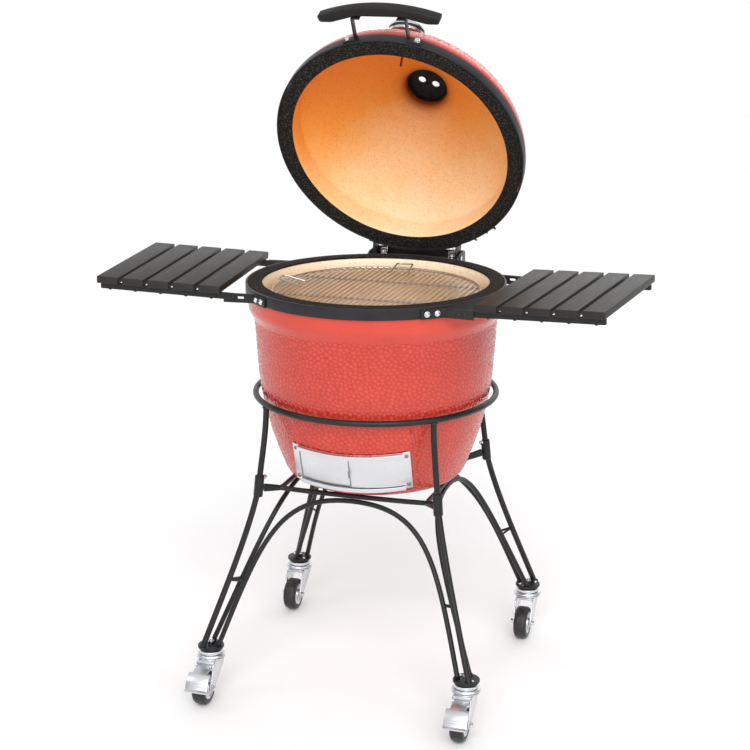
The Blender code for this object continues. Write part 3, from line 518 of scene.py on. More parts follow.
def slab(outline, thickness, edge=0.0006, steps=2):
    """A flat outline of (x, y) points, thick along Z about z = 0, with softened edges."""
    bm = bmesh.new()
    low = [bm.verts.new((x, y, -thickness / 2)) for x, y in outline]
    bm.faces.new(low)
    grown = bmesh.ops.extrude_face_region(bm, geom=bm.faces[:])
    top = [g for g in grown["geom"] if isinstance(g, bmesh.types.BMVert)]
    bmesh.ops.translate(bm, vec=(0, 0, thickness), verts=top)
    bmesh.ops.recalc_face_normals(bm, faces=bm.faces)
    if edge:
        rims = [e for e in bm.edges if len(e.link_faces) == 2 and e.calc_face_angle(0) > 0.6]
        bmesh.ops.bevel(bm, geom=rims, offset=edge, segments=steps, profile=0.5, affect="EDGES",
                        clamp_overlap=True)
    mesh = bpy.data.meshes.new("slab")
    bm.to_mesh(mesh)
    bm.free()
    return mesh


def block(size, centre=(0, 0, 0), edge=0.001, steps=3):
    bm = bmesh.new()
    bmesh.ops.create_cube(bm, size=1)
    bmesh.ops.scale(bm, vec=size, verts=bm.verts)
    if edge:
        bmesh.ops.bevel(bm, geom=bm.edges[:], offset=edge, segments=steps, profile=0.5, affect="EDGES")
    bmesh.ops.translate(bm, vec=centre, verts=bm.verts)
    mesh = bpy.data.meshes.new("block")
    bm.to_mesh(mesh)
    bm.free()
    return mesh


def swept(profile, half_angle, steps, middle=0):
    """A closed (radius, height) profile swept about Z, either side of the -Y direction."""
    points, faces = [], []
    size = len(profile)
    for i in range(steps + 1):
        a = radians(middle - half_angle + 2 * half_angle * i / steps)
        points += [(r * sin(a), -r * cos(a), z) for r, z in profile]
    for i in range(steps):
        for k in range(size):
            n = (k + 1) % size
            faces.append((i * size + k, i * size + n, (i + 1) * size + n, (i + 1) * size + k))
    faces.append(tuple(range(size))[::-1])
    faces.append(tuple(steps * size + k for k in range(size)))
    return mesh_of(points, faces)


def box_profile(r0, r1, z0, z1, edge=0.0006):
    return rounded([(r0, z0), (r1, z0), (r1, z1), (r0, z1)], edge, 3, closed=True)


def upright(outline, thickness, x, edge=0.0006):
    """A plate that stands across X, from (y, z) points."""
    turn = Matrix(((0, 0, 1, 0), (1, 0, 0, 0), (0, 1, 0, 0), (0, 0, 0, 1)))
    return placed(slab(outline, thickness, edge), at(x, 0, 0) @ turn)


def cut(mesh, *tools):
    """The mesh with the closed tools cut out of it."""
    target = bpy.data.objects.new("target", mesh)
    bpy.context.scene.collection.objects.link(target)
    helpers = []
    for tool in tools:
        helper = bpy.data.objects.new("tool", tool)
        bpy.context.scene.collection.objects.link(helper)
        helpers.append(helper)
        modifier = target.modifiers.new("cut", "BOOLEAN")
        modifier.operation = "DIFFERENCE"
        modifier.solver = "EXACT"
        modifier.object = helper
    graph = bpy.context.evaluated_depsgraph_get()
    result = bpy.data.meshes.new_from_object(target.evaluated_get(graph))
    for obj in (target, *helpers):
        bpy.data.objects.remove(obj)
    return result


def aimed(origin, direction):
    """A matrix whose Z points along direction, at origin."""
    turn = Vector((0, 0, 1)).rotation_difference(Vector(direction).normalized())
    return Matrix.Translation(origin) @ turn.to_matrix().to_4x4()


# ---- Fasteners, modelled with their base at z = 0 and their head along +Z ----
def hex_head(across, height):
    """A hexagonal head or nut whose corners are turned off."""
    points, faces = [], []
    outer = across / sqrt(3)
    for radius, z in ((outer, 0), (outer, height * 0.808), (across / 2 * 0.93, height)):
        points += circle(radius, z, 6)
    for i in range(2):
        for k in range(6):
            n = (k + 1) % 6
            faces.append((i * 6 + k, i * 6 + n, (i + 1) * 6 + n, (i + 1) * 6 + k))
    faces.append(tuple(range(6))[::-1])
    faces.append(tuple(12 + k for k in range(6)))
    return mesh_of(points, faces)


def dome_head(radius, height, steps=24):
    """A carriage bolt's or rivet's low round head."""
    profile = [(0, 0), (radius, 0), (radius, height * 0.18)]
    for k in range(1, 7):
        a = pi / 2 * k / 6
        profile.append((radius * cos(a), height * (0.18 + 0.82 * sin(a))))
    profile[-1] = (0, height)
    return lathe(profile, steps, closed=False)


def pan_screw(radius, height):
    """A pan head with a cross recess."""
    profile = [(0, 0), (radius, 0), *rounded([(radius, 0), (radius, height), (0, height)],
                                                   height * 0.8, 5)[1:-1], (0, height)]
    head = lathe(profile, 24, closed=False)
    arms = [placed(block((radius * 1.1, radius * 0.26, height), (0, 0, 0), 0), at(0, 0, height) @ spun(a))
            for a in (0, 90)]
    return cut(head, *arms)


def nut_on_stud(across, height, stud, length):
    thread = []
    pitch = 0.0009
    z = height
    while z < length:
        thread += [(stud, z), (stud * 0.88, z + pitch / 2)]
        z += pitch
    rod = lathe([(0, 0), (stud, 0), *thread, (stud * 0.8, length), (0, length)], 16, closed=False)
    return joined([hex_head(across, height), rod])


# ---- Finished pieces ----
def piece(name, mesh, mats, body, replaces=(), slot=None, matrix=GRILL, smooth=32):
    """One named piece. Its mesh is in the grill's own frame, and matrix puts it in the row's frame.

    A list of meshes is joined. The slot argument is not used. The turned lid's meshes are put in place
    point by point, so that their bounding boxes are the true ones.
    """
    if isinstance(mesh, list):
        mesh = joined(mesh)
    if body in ("lid", "vent_disc"):
        mesh.transform(matrix)
        matrix = Matrix()
    mats = mats if isinstance(mats, list) else [mats]
    slot = slot or mats[0]
    keep = [p.material_index for p in mesh.polygons] if len(mats) > 1 else None
    mesh.materials.clear()
    for mat in mats:
        mesh.materials.append(MAT[mat])
    if keep:
        mesh.polygons.foreach_set("material_index", keep)
    mesh.shade_smooth()
    mesh.set_sharp_from_angle(angle=radians(smooth))
    mesh.name = name
    obj = bpy.data.objects.new(name, mesh)
    bpy.context.scene.collection.objects.link(obj)
    obj.matrix_world = matrix
    bpy.context.view_layer.update()
    if replaces:
        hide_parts(*replaces)
    if body:
        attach(obj, body)
    return obj


# ---- Ceramic shells: fine lathed walls with raised glaze pebbles ----
DOOR_TILT = 20
DOOR_CURVE = 0.3
DOOR_FRONT = 0.222
DOOR_Z = 0.513
DOOR_HALF_ANGLE = 25
DOOR_HALF_HEIGHT = 0.047
DOOR_TURN = 3.5
DOOR = spun(DOOR_TURN) @ at(0, -DOOR_FRONT, DOOR_Z) @ spun(DOOR_TILT, "X") @ at(0, DOOR_CURVE, 0)
CHIMNEY_TOP = 0.26
PEBBLE_DEPTH = 0.0017
PEBBLE_SPACING = 0.0122
WALL_STEP = 0.0024


def even_profile(profile, step):
    """The same profile with points about one step apart."""
    result = [profile[0]]
    for a, b in zip(profile, profile[1:]):
        parts = max(1, round(hypot(b[0] - a[0], b[1] - a[1]) / step))
        result += [(a[0] + (b[0] - a[0]) * k / parts, a[1] + (b[1] - a[1]) * k / parts)
                   for k in range(1, parts + 1)]
    return result


def pebble_heights(points, seed, tall):
    """For points on a wall of revolution, a 0 to 1 height: flat-topped pebbles with narrow valleys."""
    rng = random.Random(seed)
    cells = {}
    kept = [Vector(p) * Vector((1, 1, tall)) for p in points]
    pool = list(range(len(kept)))
    rng.shuffle(pool)
    centres = []
    for index in pool:
        p = kept[index]
        key = tuple(int(c // PEBBLE_SPACING) for c in p)
        near = (q for dx in (-1, 0, 1) for dy in (-1, 0, 1) for dz in (-1, 0, 1)
                for q in cells.get((key[0] + dx, key[1] + dy, key[2] + dz), ()))
        if all((q - p).length > PEBBLE_SPACING * 0.72 for q in near):
            cells.setdefault(key, []).append(p)
            centres.append(p)
    tree = KDTree(len(centres))
    for i, p in enumerate(centres):
        tree.insert(p, i)
    tree.balance()
    lift = [rng.uniform(0.45, 1) for _ in centres]
    heights = []
    for p in kept:
        (_, first, d1), (_, _, d2) = tree.find_n(p, 2)
        edge = min(1, (d2 - d1) / (PEBBLE_SPACING * 0.7))
        edge = edge * edge * (3 - 2 * edge)
        heights.append(edge * lift[first] * (1 - 0.3 * min(1, (d1 / PEBBLE_SPACING) ** 2)))
    return heights


def add_tone(mesh, name, values):
    mesh.attributes.new(name, "FLOAT", "POINT").data.foreach_set("value", values.astype(np.float32))


def ceramic_shell(outer, inner, around, seed, strength, boss=None):
    """A closed wall from an outer and an inner profile, both from top to bottom or rim to crown.

    strength(height) says how strong the pebbles are there. Returns the mesh with its material index 1 on
    the inner profile, and the vertex attribute "relief".
    """
    angles = [tau * (i + 0.5) / around - pi / 2 for i in range(around)]
    ring = np.array([(cos(a), sin(a)) for a in angles])
    profile = np.array(outer)
    slope = np.gradient(profile, axis=0)
    normals = np.stack([-slope[:, 1], slope[:, 0]], axis=1)
    normals /= np.maximum(np.linalg.norm(normals, axis=1, keepdims=True), 1e-9)
    if normals[len(normals) // 3][0] < 0:
        normals = -normals
    r = np.repeat(profile[:, 0:1], around, axis=1)
    z = np.repeat(profile[:, 1:2], around, axis=1)
    if boss:
        r = r + boss(r, z, ring)
    flat = np.stack([r * ring[:, 0], r * ring[:, 1], z], axis=2).reshape(-1, 3)
    heights = np.array(pebble_heights([tuple(p) for p in flat], seed, 1.25)).reshape(r.shape)
    power = np.array([[strength(height)] for _, height in outer])
    depth = (heights - 1) * PEBBLE_DEPTH * power
    r = r + depth * normals[:, 0:1]
    z = z + depth * normals[:, 1:2]
    relief = 1 - (1 - heights) * power
    return closed_wall(r, z, relief, ring, inner)


def closed_wall(r, z, relief, ring, inner):
    """Joins the displaced outer grid to the inner profile's plain rings, and closes walls at the axis."""
    around = len(ring)
    rows = [np.stack([r[i] * ring[:, 0], r[i] * ring[:, 1], z[i]], axis=1) for i in range(len(r))]
    tone = list(relief)
    outer_rows = len(rows)
    for radius, height in inner:
        rows.append(np.stack([radius * ring[:, 0], radius * ring[:, 1], np.full(around, height)], axis=1))
        tone.append(np.ones(around))
    points = np.concatenate(rows)
    faces = []
    total = len(rows)
    for i in range(total):
        j = (i + 1) % total
        for k in range(around):
            n = (k + 1) % around
            faces.append((i * around + k, i * around + n, j * around + n, j * around + k))
    mesh = bpy.data.meshes.new("shell")
    mesh.from_pydata(points.tolist(), [], faces)
    side = np.zeros(len(faces), dtype=np.int32)
    side[(outer_rows - 1) * around:] = 1
    side[(total - 1) * around:] = 0
    mesh.polygons.foreach_set("material_index", side)
    add_tone(mesh, "relief", np.concatenate(tone))
    bm = bmesh.new()
    bm.from_mesh(mesh)
    bmesh.ops.remove_doubles(bm, verts=[v for v in bm.verts if hypot(v.co.x, v.co.y) < 0.0006], dist=0.0015)
    bmesh.ops.recalc_face_normals(bm, faces=bm.faces)
    bm.to_mesh(mesh)
    bm.free()
    return mesh


def door_pad(r, z, ring):
    """How far the wall stands out round the draft door: flat behind it, fading out under the stand's ring."""
    inverse = np.array(DOOR.inverted())
    push = np.zeros_like(r)
    for step in range(80):
        grown = r + step * 0.0005
        points = np.stack([grown * ring[:, 0], grown * ring[:, 1], z, np.ones_like(z)], axis=2)
        local = points @ inverse.T
        radius = np.hypot(local[..., 0], local[..., 1])
        angle = np.degrees(np.arctan2(np.abs(local[..., 0]), -local[..., 1]))
        drop = np.clip((local[..., 2] - 0.05) / 0.062, 0, 1) * 0.015
        inside = ((radius < DOOR_CURVE - 0.0008 - drop) & (angle < DOOR_HALF_ANGLE + 1.8)
                  & (local[..., 2] > -0.0515) & (local[..., 2] < 0.112))
        push[inside] = step * 0.0005
    for _ in range(3):
        blurred = push.copy()
        blurred[1:-1] = (push[:-2] + 2 * push[1:-1] + push[2:]) / 4
        blurred = (np.roll(blurred, 1, axis=1) + 2 * blurred + np.roll(blurred, -1, axis=1)) / 4
        push = np.minimum(blurred, push + 0.0015)
    return push


def build_bowl():
    rim = RIM_Z - GASKET - GAP
    wall = [(RIM_OUTER, 0.834), (0.2765, 0.829), (0.2742, 0.821), (0.269, 0.811), (0.2655, 0.801),
            (0.2636, 0.788), (0.2603, 0.74), (0.256, 0.68), (0.247, 0.62),
            (0.2321, 0.56), (0.2188, 0.52), (0.2038, 0.48), (0.196, 0.464), (0.188, 0.455),
            (0.178, 0.45), (0.16, 0.4475)]
    outer = [(RIM_OUTER - 0.0012, rim), (RIM_OUTER, rim - 0.0012), *smooth_path(wall, 12), (0.0003, 0.447)]
    inner = [(0.0003, 0.474), (0.15, 0.474), (0.165, 0.4745), (0.176, 0.479), (0.185, 0.49),
             (0.196, 0.515), (0.206, 0.545), (0.216, 0.582), (0.224, 0.62), (0.23, 0.656),
             (0.234, 0.69), (0.24, 0.79), (0.244, 0.835), (RIM_INNER, 0.86), (RIM_INNER, rim - 0.002),
             (RIM_INNER + 0.002, rim)]

    def strength(height):
        return min(1, max(0, (0.812 - height) / 0.012)) * min(1, max(0.05, (height - 0.45) / 0.01))

    mesh = ceramic_shell(even_profile(outer, WALL_STEP), inner, 700, 11, strength, door_pad)
    opening = placed(block((0.15, 0.13, 0.056), (0, -DOOR_CURVE + 0.03, 0), 0.004), DOOR)
    piece("bowl_shell", cut(mesh, opening), ["glaze", "bowl_inside"], "base", ["base_bowl"], smooth=60)


def dome_radius(height, inset=0):
    share = height / (0.198 - inset)
    return (0.285 - inset) * sqrt(max(0, 1 - share * share))


def build_dome():
    low = RIM_Z + GAP + GASKET + GAP
    base = RIM_Z
    top = base + CHIMNEY_TOP
    shoulder = [(RIM_OUTER, base + 0.0265), (0.2776, base + 0.0285), (0.2788, base + 0.032),
                (0.2785, base + 0.037)]
    curve = [(min(dome_radius(h), 0.2785), base + h) for h in (0.05, 0.065, 0.08, 0.095, 0.107)]
    cone = [(r, base + h) for r, h in ((0.226, 0.1203), (0.206, 0.1388), (0.187, 0.1555), (0.168, 0.1715),
                                       (0.149, 0.188), (0.13, 0.204), (0.112, 0.2192), (0.096, 0.232),
                                       (0.082, 0.2412), (0.072, 0.2465), (0.0668, 0.251), (0.066, 0.256))]
    outer = [(RIM_OUTER - 0.0012, low), (RIM_OUTER, low + 0.0012),
             *smooth_path([*shoulder, *curve, *cone, (0.066, top - 0.0015)], 10), (0.065, top)]
    inner_curve = [(min(dome_radius(h, 0.024), 0.245), base + h) for h in (0.045, 0.06, 0.075, 0.09, 0.105)]
    flare = [(r, base + h) for r, h in ((0.187, 0.1255), (0.15, 0.158), (0.11, 0.193), (0.088, 0.2125),
                                        (0.073, 0.225), (0.062, 0.233), (0.054, 0.239), (0.049, 0.245),
                                        (0.048, 0.251))]
    flare.append((0.048, top))
    inner = [(RIM_INNER + 0.002, low), (RIM_INNER, low + 0.002), (RIM_INNER, base + 0.025),
             (0.2452, base + 0.035)]
    inner = (inner[:3] + smooth_path(inner[3:] + inner_curve + flare, 5))[::-1]

    def strength(height):
        h = height - base
        return min(1, max(0, (h - 0.044) / 0.008)) * min(1, max(0, (0.246 - h) / 0.008))

    mesh = ceramic_shell(even_profile(outer, WALL_STEP), inner, 720, 12, strength)
    places = np.zeros(len(mesh.vertices) * 3)
    mesh.vertices.foreach_get("co", places)
    x, y, _ = places.reshape(-1, 3).T
    add_tone(mesh, "chimney", np.clip((0.08 - np.hypot(x, y)) / 0.032, 0, 1))
    add_tone(mesh, "to_back", np.clip((y + 0.26) / 0.52, 0, 1))
    mesh = cut(mesh, placed(drum(0.005, 0.05, -0.05, 24),
                                thermometer_matrix()))
    piece("dome_shell", mesh, ["glaze", "lid_inside"], "lid", ["dome"], matrix=LID, smooth=60)


def thermometer_matrix():
    radius = 0.185
    height = 0.198 * sqrt(1 - (radius / 0.285) ** 2)
    slope = (0, -radius / 0.285 ** 2, height / 0.198 ** 2)
    return aimed((0, -radius, RIM_Z + height), slope)


def build_rims():
    """A felt seal and a steel hoop on the base and on the lid."""
    for body, low, hoop_low, matrix in (("base", RIM_Z - GASKET, RIM_Z - 0.0002 - BAND_HEIGHT, GRILL),
                                        ("lid", RIM_Z + GAP, RIM_Z + GAP + 0.0002, LID)):
        seal = box_profile(RIM_INNER, RIM_OUTER, low, low + GASKET, 0.0012)
        hoop = box_profile(BAND_OUTER - BAND_WALL, BAND_OUTER, hoop_low, hoop_low + BAND_HEIGHT, 0.0012)
        piece(f"{body}_seal", lathe(seal, 256), "felt", body, [f"{body}_gasket"], matrix=matrix)
        piece(f"{body}_hoop", lathe(hoop, 256), "band", body, [f"{body}_band"], matrix=matrix)


# ---- Firebox, fire ring, charcoal grate and cooking grate ----
SEAMS = (18, 90, 162, 234, 306)
SEAM_WIDTH = 0.7


def seam_angles():
    """Even angles, with extra ones close to each seam."""
    angles = [2 * i for i in range(180)]
    for seam in SEAMS:
        angles = [a for a in angles if abs((a - seam + 180) % 360 - 180) > SEAM_WIDTH * 1.6]
        angles += [seam + share * SEAM_WIDTH for share in (-1, -0.45, 0, 0.45, 1)]
    return [radians(a) for a in sorted(angles)]


def notched(mesh, middle, depth):
    """Presses a narrow groove into both faces of a turned wall at each seam."""
    for vertex in mesh.vertices:
        angle = atan2(vertex.co.y, vertex.co.x)
        if any(abs((angle - radians(seam) + pi) % tau - pi) < radians(SEAM_WIDTH * 0.5) for seam in SEAMS):
            radius = hypot(vertex.co.x, vertex.co.y)
            vertex.co.xy *= (radius + (depth if radius < middle else -depth)) / radius
    return mesh


def build_fire_parts():
    floor = 0.4755
    wall = [(0.212, 0.69), (0.205, 0.62), (0.188, 0.55), (0.164, floor), (0.07, floor),
            (0.07, floor + 0.018), (0.148, floor + 0.02), (0.169, 0.55), (0.185, 0.62), (0.192, 0.69)]
    firebox = lathe(rounded(wall, 0.005, 5, closed=True), angles=seam_angles())
    draft = placed(block((0.13, 0.14, 0.05), edge=0.008), spun(DOOR_TURN) @ at(0, -0.17, 0.53))
    piece("firebox_brick", cut(firebox, draft), "firebrick", "base", ["firebox"])

    low = 0.69 + GAP
    ring = [(0.237, 0.85), (0.229, 0.7), (0.227, low), (0.195, low), (0.195, low + 0.02), (0.218, 0.85)]
    ring = rounded(ring, 0.0045, 5, closed=True)
    mesh = lathe(even_profile([*ring, ring[0]], 0.02)[:-1], angles=seam_angles())
    piece("fire_ring_brick", notched(mesh, 0.216, 0.0018), "firebrick", "base", ["fire_ring"])

    plate = lathe([(0, 0.513), *rounded([(0.144, 0.513), (0.148, 0.511), (0.148, 0.507), (0.14, 0.503)],
                                          0.002, 3), (0, 0.503)], 96, closed=False)
    holes = []
    for radius, count in ((0.028, 6), (0.058, 12), (0.088, 18), (0.118, 24)):
        for k in range(count):
            angle = 360 * k / count
            holes.append(placed(block((0.019, 0.0075, 0.05), edge=0.003), spun(angle) @ at(radius, 0, 0.508)))
    piece("charcoal_grate", cut(plate, joined(holes)), "cast", "base")


def build_cooking_grate():
    """Round wires across the grill's front-to-back line, welded under a ring, with two lifting loops."""
    wire = 0.002
    ring = 0.003
    radius = 0.228 - ring
    top = 0.862
    parts = [pipe(circle(radius, top - ring, 144),
                  ring, 12, closed=True)]
    pitch = 0.0127
    rows = int((radius - 0.004) / pitch)
    for i in range(-rows, rows + 1):
        x = i * pitch
        half = sqrt(radius * radius - x * x)
        parts.append(pipe([(x, -half, top - wire - 0.0006), (x, 0, top - wire),
                           (x, half, top - wire - 0.0006)], wire, 10))
    for y in (-0.09, 0.09):
        half = sqrt(radius * radius - y * y)
        parts.append(pipe([(-half, y, top - wire * 3), (half, y, top - wire * 3)], wire * 1.15, 10))
    inner = 0.15
    for angle in (90, 180):
        loop = rounded([(inner + 0.02, -0.021, 0), (radius - 0.004, -0.018, 0), (radius - 0.004, 0.018, 0),
                        (inner + 0.02, 0.021, 0)], 0.01, 6)
        loop = [(x, y, top - 0.001 + (0.01 if x > radius - 0.02 else 0)) for x, y, _ in loop]
        parts.append(placed(pipe(smooth_path(loop, 2), wire, 10), spun(angle)))
    piece("grate_wires", parts, "wire", "cooking_grate", ["cooking_grate"], slot="steel")


# ---- Draft door ----
def on_tracks(angle, height, radius):
    a = radians(angle)
    return DOOR @ at(radius * sin(a), -radius * cos(a), height) @ spun(angle) @ spun(90, "X")


def build_door():
    back = DOOR_CURVE
    face = back + 0.0015
    lip = 0.0068
    top = DOOR_HALF_HEIGHT
    half = DOOR_HALF_ANGLE
    sheet = swept(box_profile(back, face, -top, top, 0.0004), half, 60)
    window = block((0.19, 0.1, 0.066), (0, -DOOR_CURVE, 0), 0.003)
    parts = [cut(sheet, window)]
    for up in (-1, 1):
        section = [(back + 0.001, up * (top - 0.003)), (back + 0.001, up * top), (face + lip, up * top),
                   (face + lip, up * (top - 0.01)), (face + lip - 0.0012, up * (top - 0.01)),
                   (face + lip - 0.0012, up * (top - 0.003))]
        parts.append(swept(rounded(section, 0.001, 4, closed=True), half - 3, 56))
    piece("door_frame", parts, "bright", "base", ["draft_frame"], matrix=GRILL @ DOOR)
    screws = [placed(pan_screw(0.0042, 0.0024), on_tracks(angle, height, face))
              for angle in (-half + 1.5, half - 1.5) for height in (-top + 0.01, top - 0.01)]
    piece("door_screws", screws, "screw", "base", slot="bright")

    height = top - 0.003 - GAP
    inner = face + GAP
    span = 11
    sheet = swept(box_profile(inner, inner + 0.0012, -height, height, 0.0003), span, 30, -span)
    # A dark strip of screw steel along the left panel's outer edge: painted shade of the panel's edge.
    shade_strip = swept(box_profile(inner + 0.0012, inner + 0.0018, -height + 0.0004, height - 0.0004, 0.0002), 0.3,
                 2, -2 * span + 0.5)
    piece("draft_slide_left", sheet, "bright", "draft_left", ["draft_panel_left"], matrix=GRILL @ DOOR)
    piece("draft_shade_strip_left", shade_strip, "screw", "draft_left", slot="bright", matrix=GRILL @ DOOR)
    outer = inner + 0.0012 + 0.0008
    sheet = swept(box_profile(outer, outer + 0.0012, -height, height, 0.0003), span, 30, span)
    fold = rounded([(0.0002, -0.036), (0.0002, 0.036), (-0.0034, 0.034), (-0.0034, 0.013), (-0.0098, 0.011),
                    (-0.0098, -0.005), (-0.0034, -0.008), (-0.0034, -0.034)], 0.0012, 4, closed=True)
    tab = placed(upright(fold, 0.0012, 0.0009, 0.0003), at(0, -outer - 0.0008, 0))
    piece("draft_slide_right", sheet, "bright", "draft_right", ["draft_panel_right"], matrix=GRILL @ DOOR)
    # The finger flange is the panel's own sheet, given the darker screw steel as painted shade along the seam
    # between the panels.
    piece("draft_tab_right", tab, "screw", "draft_right", slot="bright", matrix=GRILL @ DOOR)


# ---- Handle, thermometer and vent ----
def on_band(degrees, height, radius=BAND_OUTER):
    """A frame on a steel band: Z points outwards, and the angle is measured from the front."""
    a = radians(degrees)
    return aimed((radius * sin(a), -radius * cos(a), height), (sin(a), -cos(a), 0))


def build_handle():
    low, high = 0.886, 0.91
    half, front, end_front = 0.135, 0.357, 0.333
    bow = (half ** 2 + (front - end_front) ** 2) / (2 * (front - end_front))
    outline = [(x, -front + bow - sqrt(bow * bow - x * x)) for x in (half * (i / 14 - 1) for i in range(29))]
    inner = [(half - 0.004, -0.319), (0.105, -0.319), (0.07, -0.329), (0.05, -0.335),
             (-0.05, -0.335), (-0.07, -0.329), (-0.105, -0.319), (-half + 0.004, -0.319)]
    outline += rounded([outline[-1], *inner, outline[0]], 0.005, 3)[1:-1]
    bar = placed(slab(outline, high - low, 0.0026, 4), at(0, 0, (low + high) / 2))
    piece("handle_grip", bar, "handle", "lid", ["handle_bar"], matrix=LID, smooth=40)
    middle = RIM_Z + GAP + BAND_HEIGHT / 2
    bolts = []
    for side, sx in SIDES:
        x, thick, height, angle = 0.059, 0.003, 0.018, 14.5
        radius = BAND_OUTER + GAP
        foot = swept(box_profile(radius, radius + thick, middle - height / 2, middle + height / 2, 0.0006),
                     3.2, 12, sx * angle)
        start = sqrt(radius ** 2 - x ** 2) + 0.0012
        end = 0.3315 - GAP
        arm = block((thick, end - start, height - 0.001), (sx * x, -(start + end) / 2, middle), 0.0008)
        cheek = block((0.02, thick, height - 0.001), (sx * (x - 0.0085), -end + thick / 2, middle), 0.0008)
        bend = pipe([(sx * (x + 0.0004), -start + 0.0004, middle - height / 2 + 0.001),
                     (sx * (x + 0.0004), -start + 0.0004, middle + height / 2 - 0.001)], 0.0026, 14)
        piece(f"handle_stay_{side}", [foot, arm, cheek, bend], "steel_black", "lid",
              [f"handle_bracket_{side}"], matrix=LID)
        outside = on_band(sx * 15.6, middle, radius + thick)
        inside = aimed((sx * (x - 0.011), -end + thick, middle), (0, 1, 0))
        bolts += [placed(hex_head(0.01, 0.0052), outside), placed(drum(0.0065, 0, 0.001, 24), outside),
                  placed(pan_screw(0.0036, 0.0022), inside)]
    piece("handle_bolts", bolts, "chrome", "lid", matrix=LID)


def build_thermometer():
    place = LID @ thermometer_matrix()
    low, high, dial = 0.009, 0.033, 0.04
    shell = [(0, high - 0.009), (dial - 0.0062, high - 0.009), (dial - 0.0062, high - 0.001),
             (dial - 0.005, high), (dial - 0.0015, high - 0.0004), (dial, high - 0.003), (dial, high - 0.007),
             (dial - 0.004, high - 0.0084), (dial - 0.004, high - 0.012), (dial - 0.0004, high - 0.0134),
             (dial - 0.0004, low + 0.0055), (dial - 0.003, low + 0.0035), (0.018, low), (0.011, low),
             (0.0105, low - 0.0035), (0, low - 0.004)]
    piece("thermometer_case", lathe(shell, 96, closed=False), "chrome", "lid", ["thermometer"], matrix=place)
    # A dark rubber ring set in the bezel's groove: painted shade of the groove.
    seal = rounded([(dial - 0.0008, high - 0.0086), (dial - 0.0008, high - 0.0118),
                    (dial - 0.0044, high - 0.0118), (dial - 0.0044, high - 0.0086)], 0.0008, 3, closed=True)
    piece("thermometer_groove_shade", lathe(seal, 96), "tyre", "lid", slot="chrome", matrix=place)
    stem = [(0, low - 0.0038), (0.0045, low - 0.0038), (0.0045, -0.02), (0.0025, -0.023), (0.0025, -0.06),
            (0.0014, -0.062), (0, -0.062)]
    piece("thermometer_stem", lathe(stem, 32, closed=False), "stem", "lid", slot="chrome", matrix=place)
    face = high - 0.0088
    disc = drum(dial - 0.0064, face, face + 0.0006, 72)
    piece("thermometer_face", disc, "dial", "lid", slot="chrome", matrix=place)
    ticks = []
    for k in range(41):
        angle = -135 + 270 * k / 40
        long, wide = (0.0046, 0.0009) if k % 5 == 0 else (0.0026, 0.0005)
        ticks.append(placed(block((wide, long, 0.0002), (0, dial - 0.0085 - long / 2, face + 0.0007), 0),
                            spun(180 - angle)))
    ring = lathe([(0.0185, face + 0.0006), (0.019, face + 0.0006), (0.019, face + 0.0008),
                  (0.0185, face + 0.0008)], 72)
    piece("thermometer_scale", ticks + [ring], "print", "lid", slot="chrome", matrix=place)
    pointer = slab([(-0.0016, -0.008), (0.0016, -0.008), (0.001, 0), (0.0002, 0.027), (-0.0002, 0.027),
                    (-0.001, 0)], 0.0006, 0)
    cap = dome_head(0.003, 0.0016)
    needle = [placed(pointer, at(0, 0, face + 0.0022) @ spun(-45)), placed(cap, at(0, 0, face + 0.0024))]
    piece("thermometer_needle", needle, "needle", "lid", slot="chrome", matrix=place)


def vent_frame():
    return LID @ at(0, 0, RIM_Z + CHIMNEY_TOP)


def vent_holes():
    places = [(0.0165 * cos(radians(a)), 0.0165 * sin(radians(a)), 0) for a in (-160, 20)]
    return joined([placed(drum(0.009, 0.03, -0.03, 40), at(*place)) for place in places])


def build_vent():
    plug = 0.047
    cap = [(0, 0.01), *rounded([(0.056, 0.01), (0.057, 0.0086), (0.064, 0.0086), (0.068, 0.0056),
                                (0.068, GAP), (plug, GAP), (plug, -0.004), (plug - 0.003, -0.004),
                                (plug - 0.003, 0.0075)], 0.0008, 3), (0, 0.0075)]
    body = cut(lathe(cap, 128, closed=False), vent_holes())
    post = lathe([(0, 0.024), (0.003, 0.024), (0.005, 0.0225), (0.005, 0.01), (0, 0.01)], 32, closed=False)
    bosses = [placed(dome_head(0.0042, 0.0022), spun(a) @ at(0.0605, 0, 0.0086)) for a in (20, 140, 260)]
    piece("vent_cap", [body, post] + bosses, "cast", "lid", ["vent_base"], matrix=vent_frame())

    low = 0.01 + GAP
    disc = rounded([(0.056, low + 0.0025), (0.056, low), (0.0054, low), (0.0054, low + 0.0025)], 0.0007, 3,
                   closed=True)
    disc = cut(lathe(disc, 128), vent_holes())
    rim = lathe(rounded([(0.0558, low + 0.002), (0.0558, low + 0.0052), (0.052, low + 0.0052),
                         (0.052, low + 0.002)], 0.0008, 3, closed=True), 128)
    ribs = [placed(block((0.02, 0.0026, 0.0024), (0.0425, 0, low + 0.0034), 0.0007), spun(a))
            for a in (-70, -25, 55, 125, 155, 200, 245)]
    grip = rounded([(-0.005, 0.052), (0.005, 0.052), (0.005, 0.0742), (0.003, 0.0758), (-0.003, 0.0758),
                    (-0.005, 0.0742)], 0.0015, 3, closed=True)
    grip = placed(slab(grip, 0.003, 0.0008), at(0, 0, low + 0.002))
    hub = lathe(rounded([(0.0074, low + 0.0022), (0.0074, low + 0.0056), (0.0054, low + 0.0056),
                         (0.0054, low + 0.0022)], 0.0005, 3, closed=True), 48)
    piece("vent_rotor", [disc, rim, grip, hub] + ribs, "cast", "vent_disc", ["vent_disc"],
          matrix=vent_frame())
    nut = nut_on_stud(0.0085, 0.0034, 0.0022, 0.0052)
    piece("vent_nut", placed(nut, at(0, 0, 0.018)), "chrome", "lid", slot="cast", matrix=vent_frame())


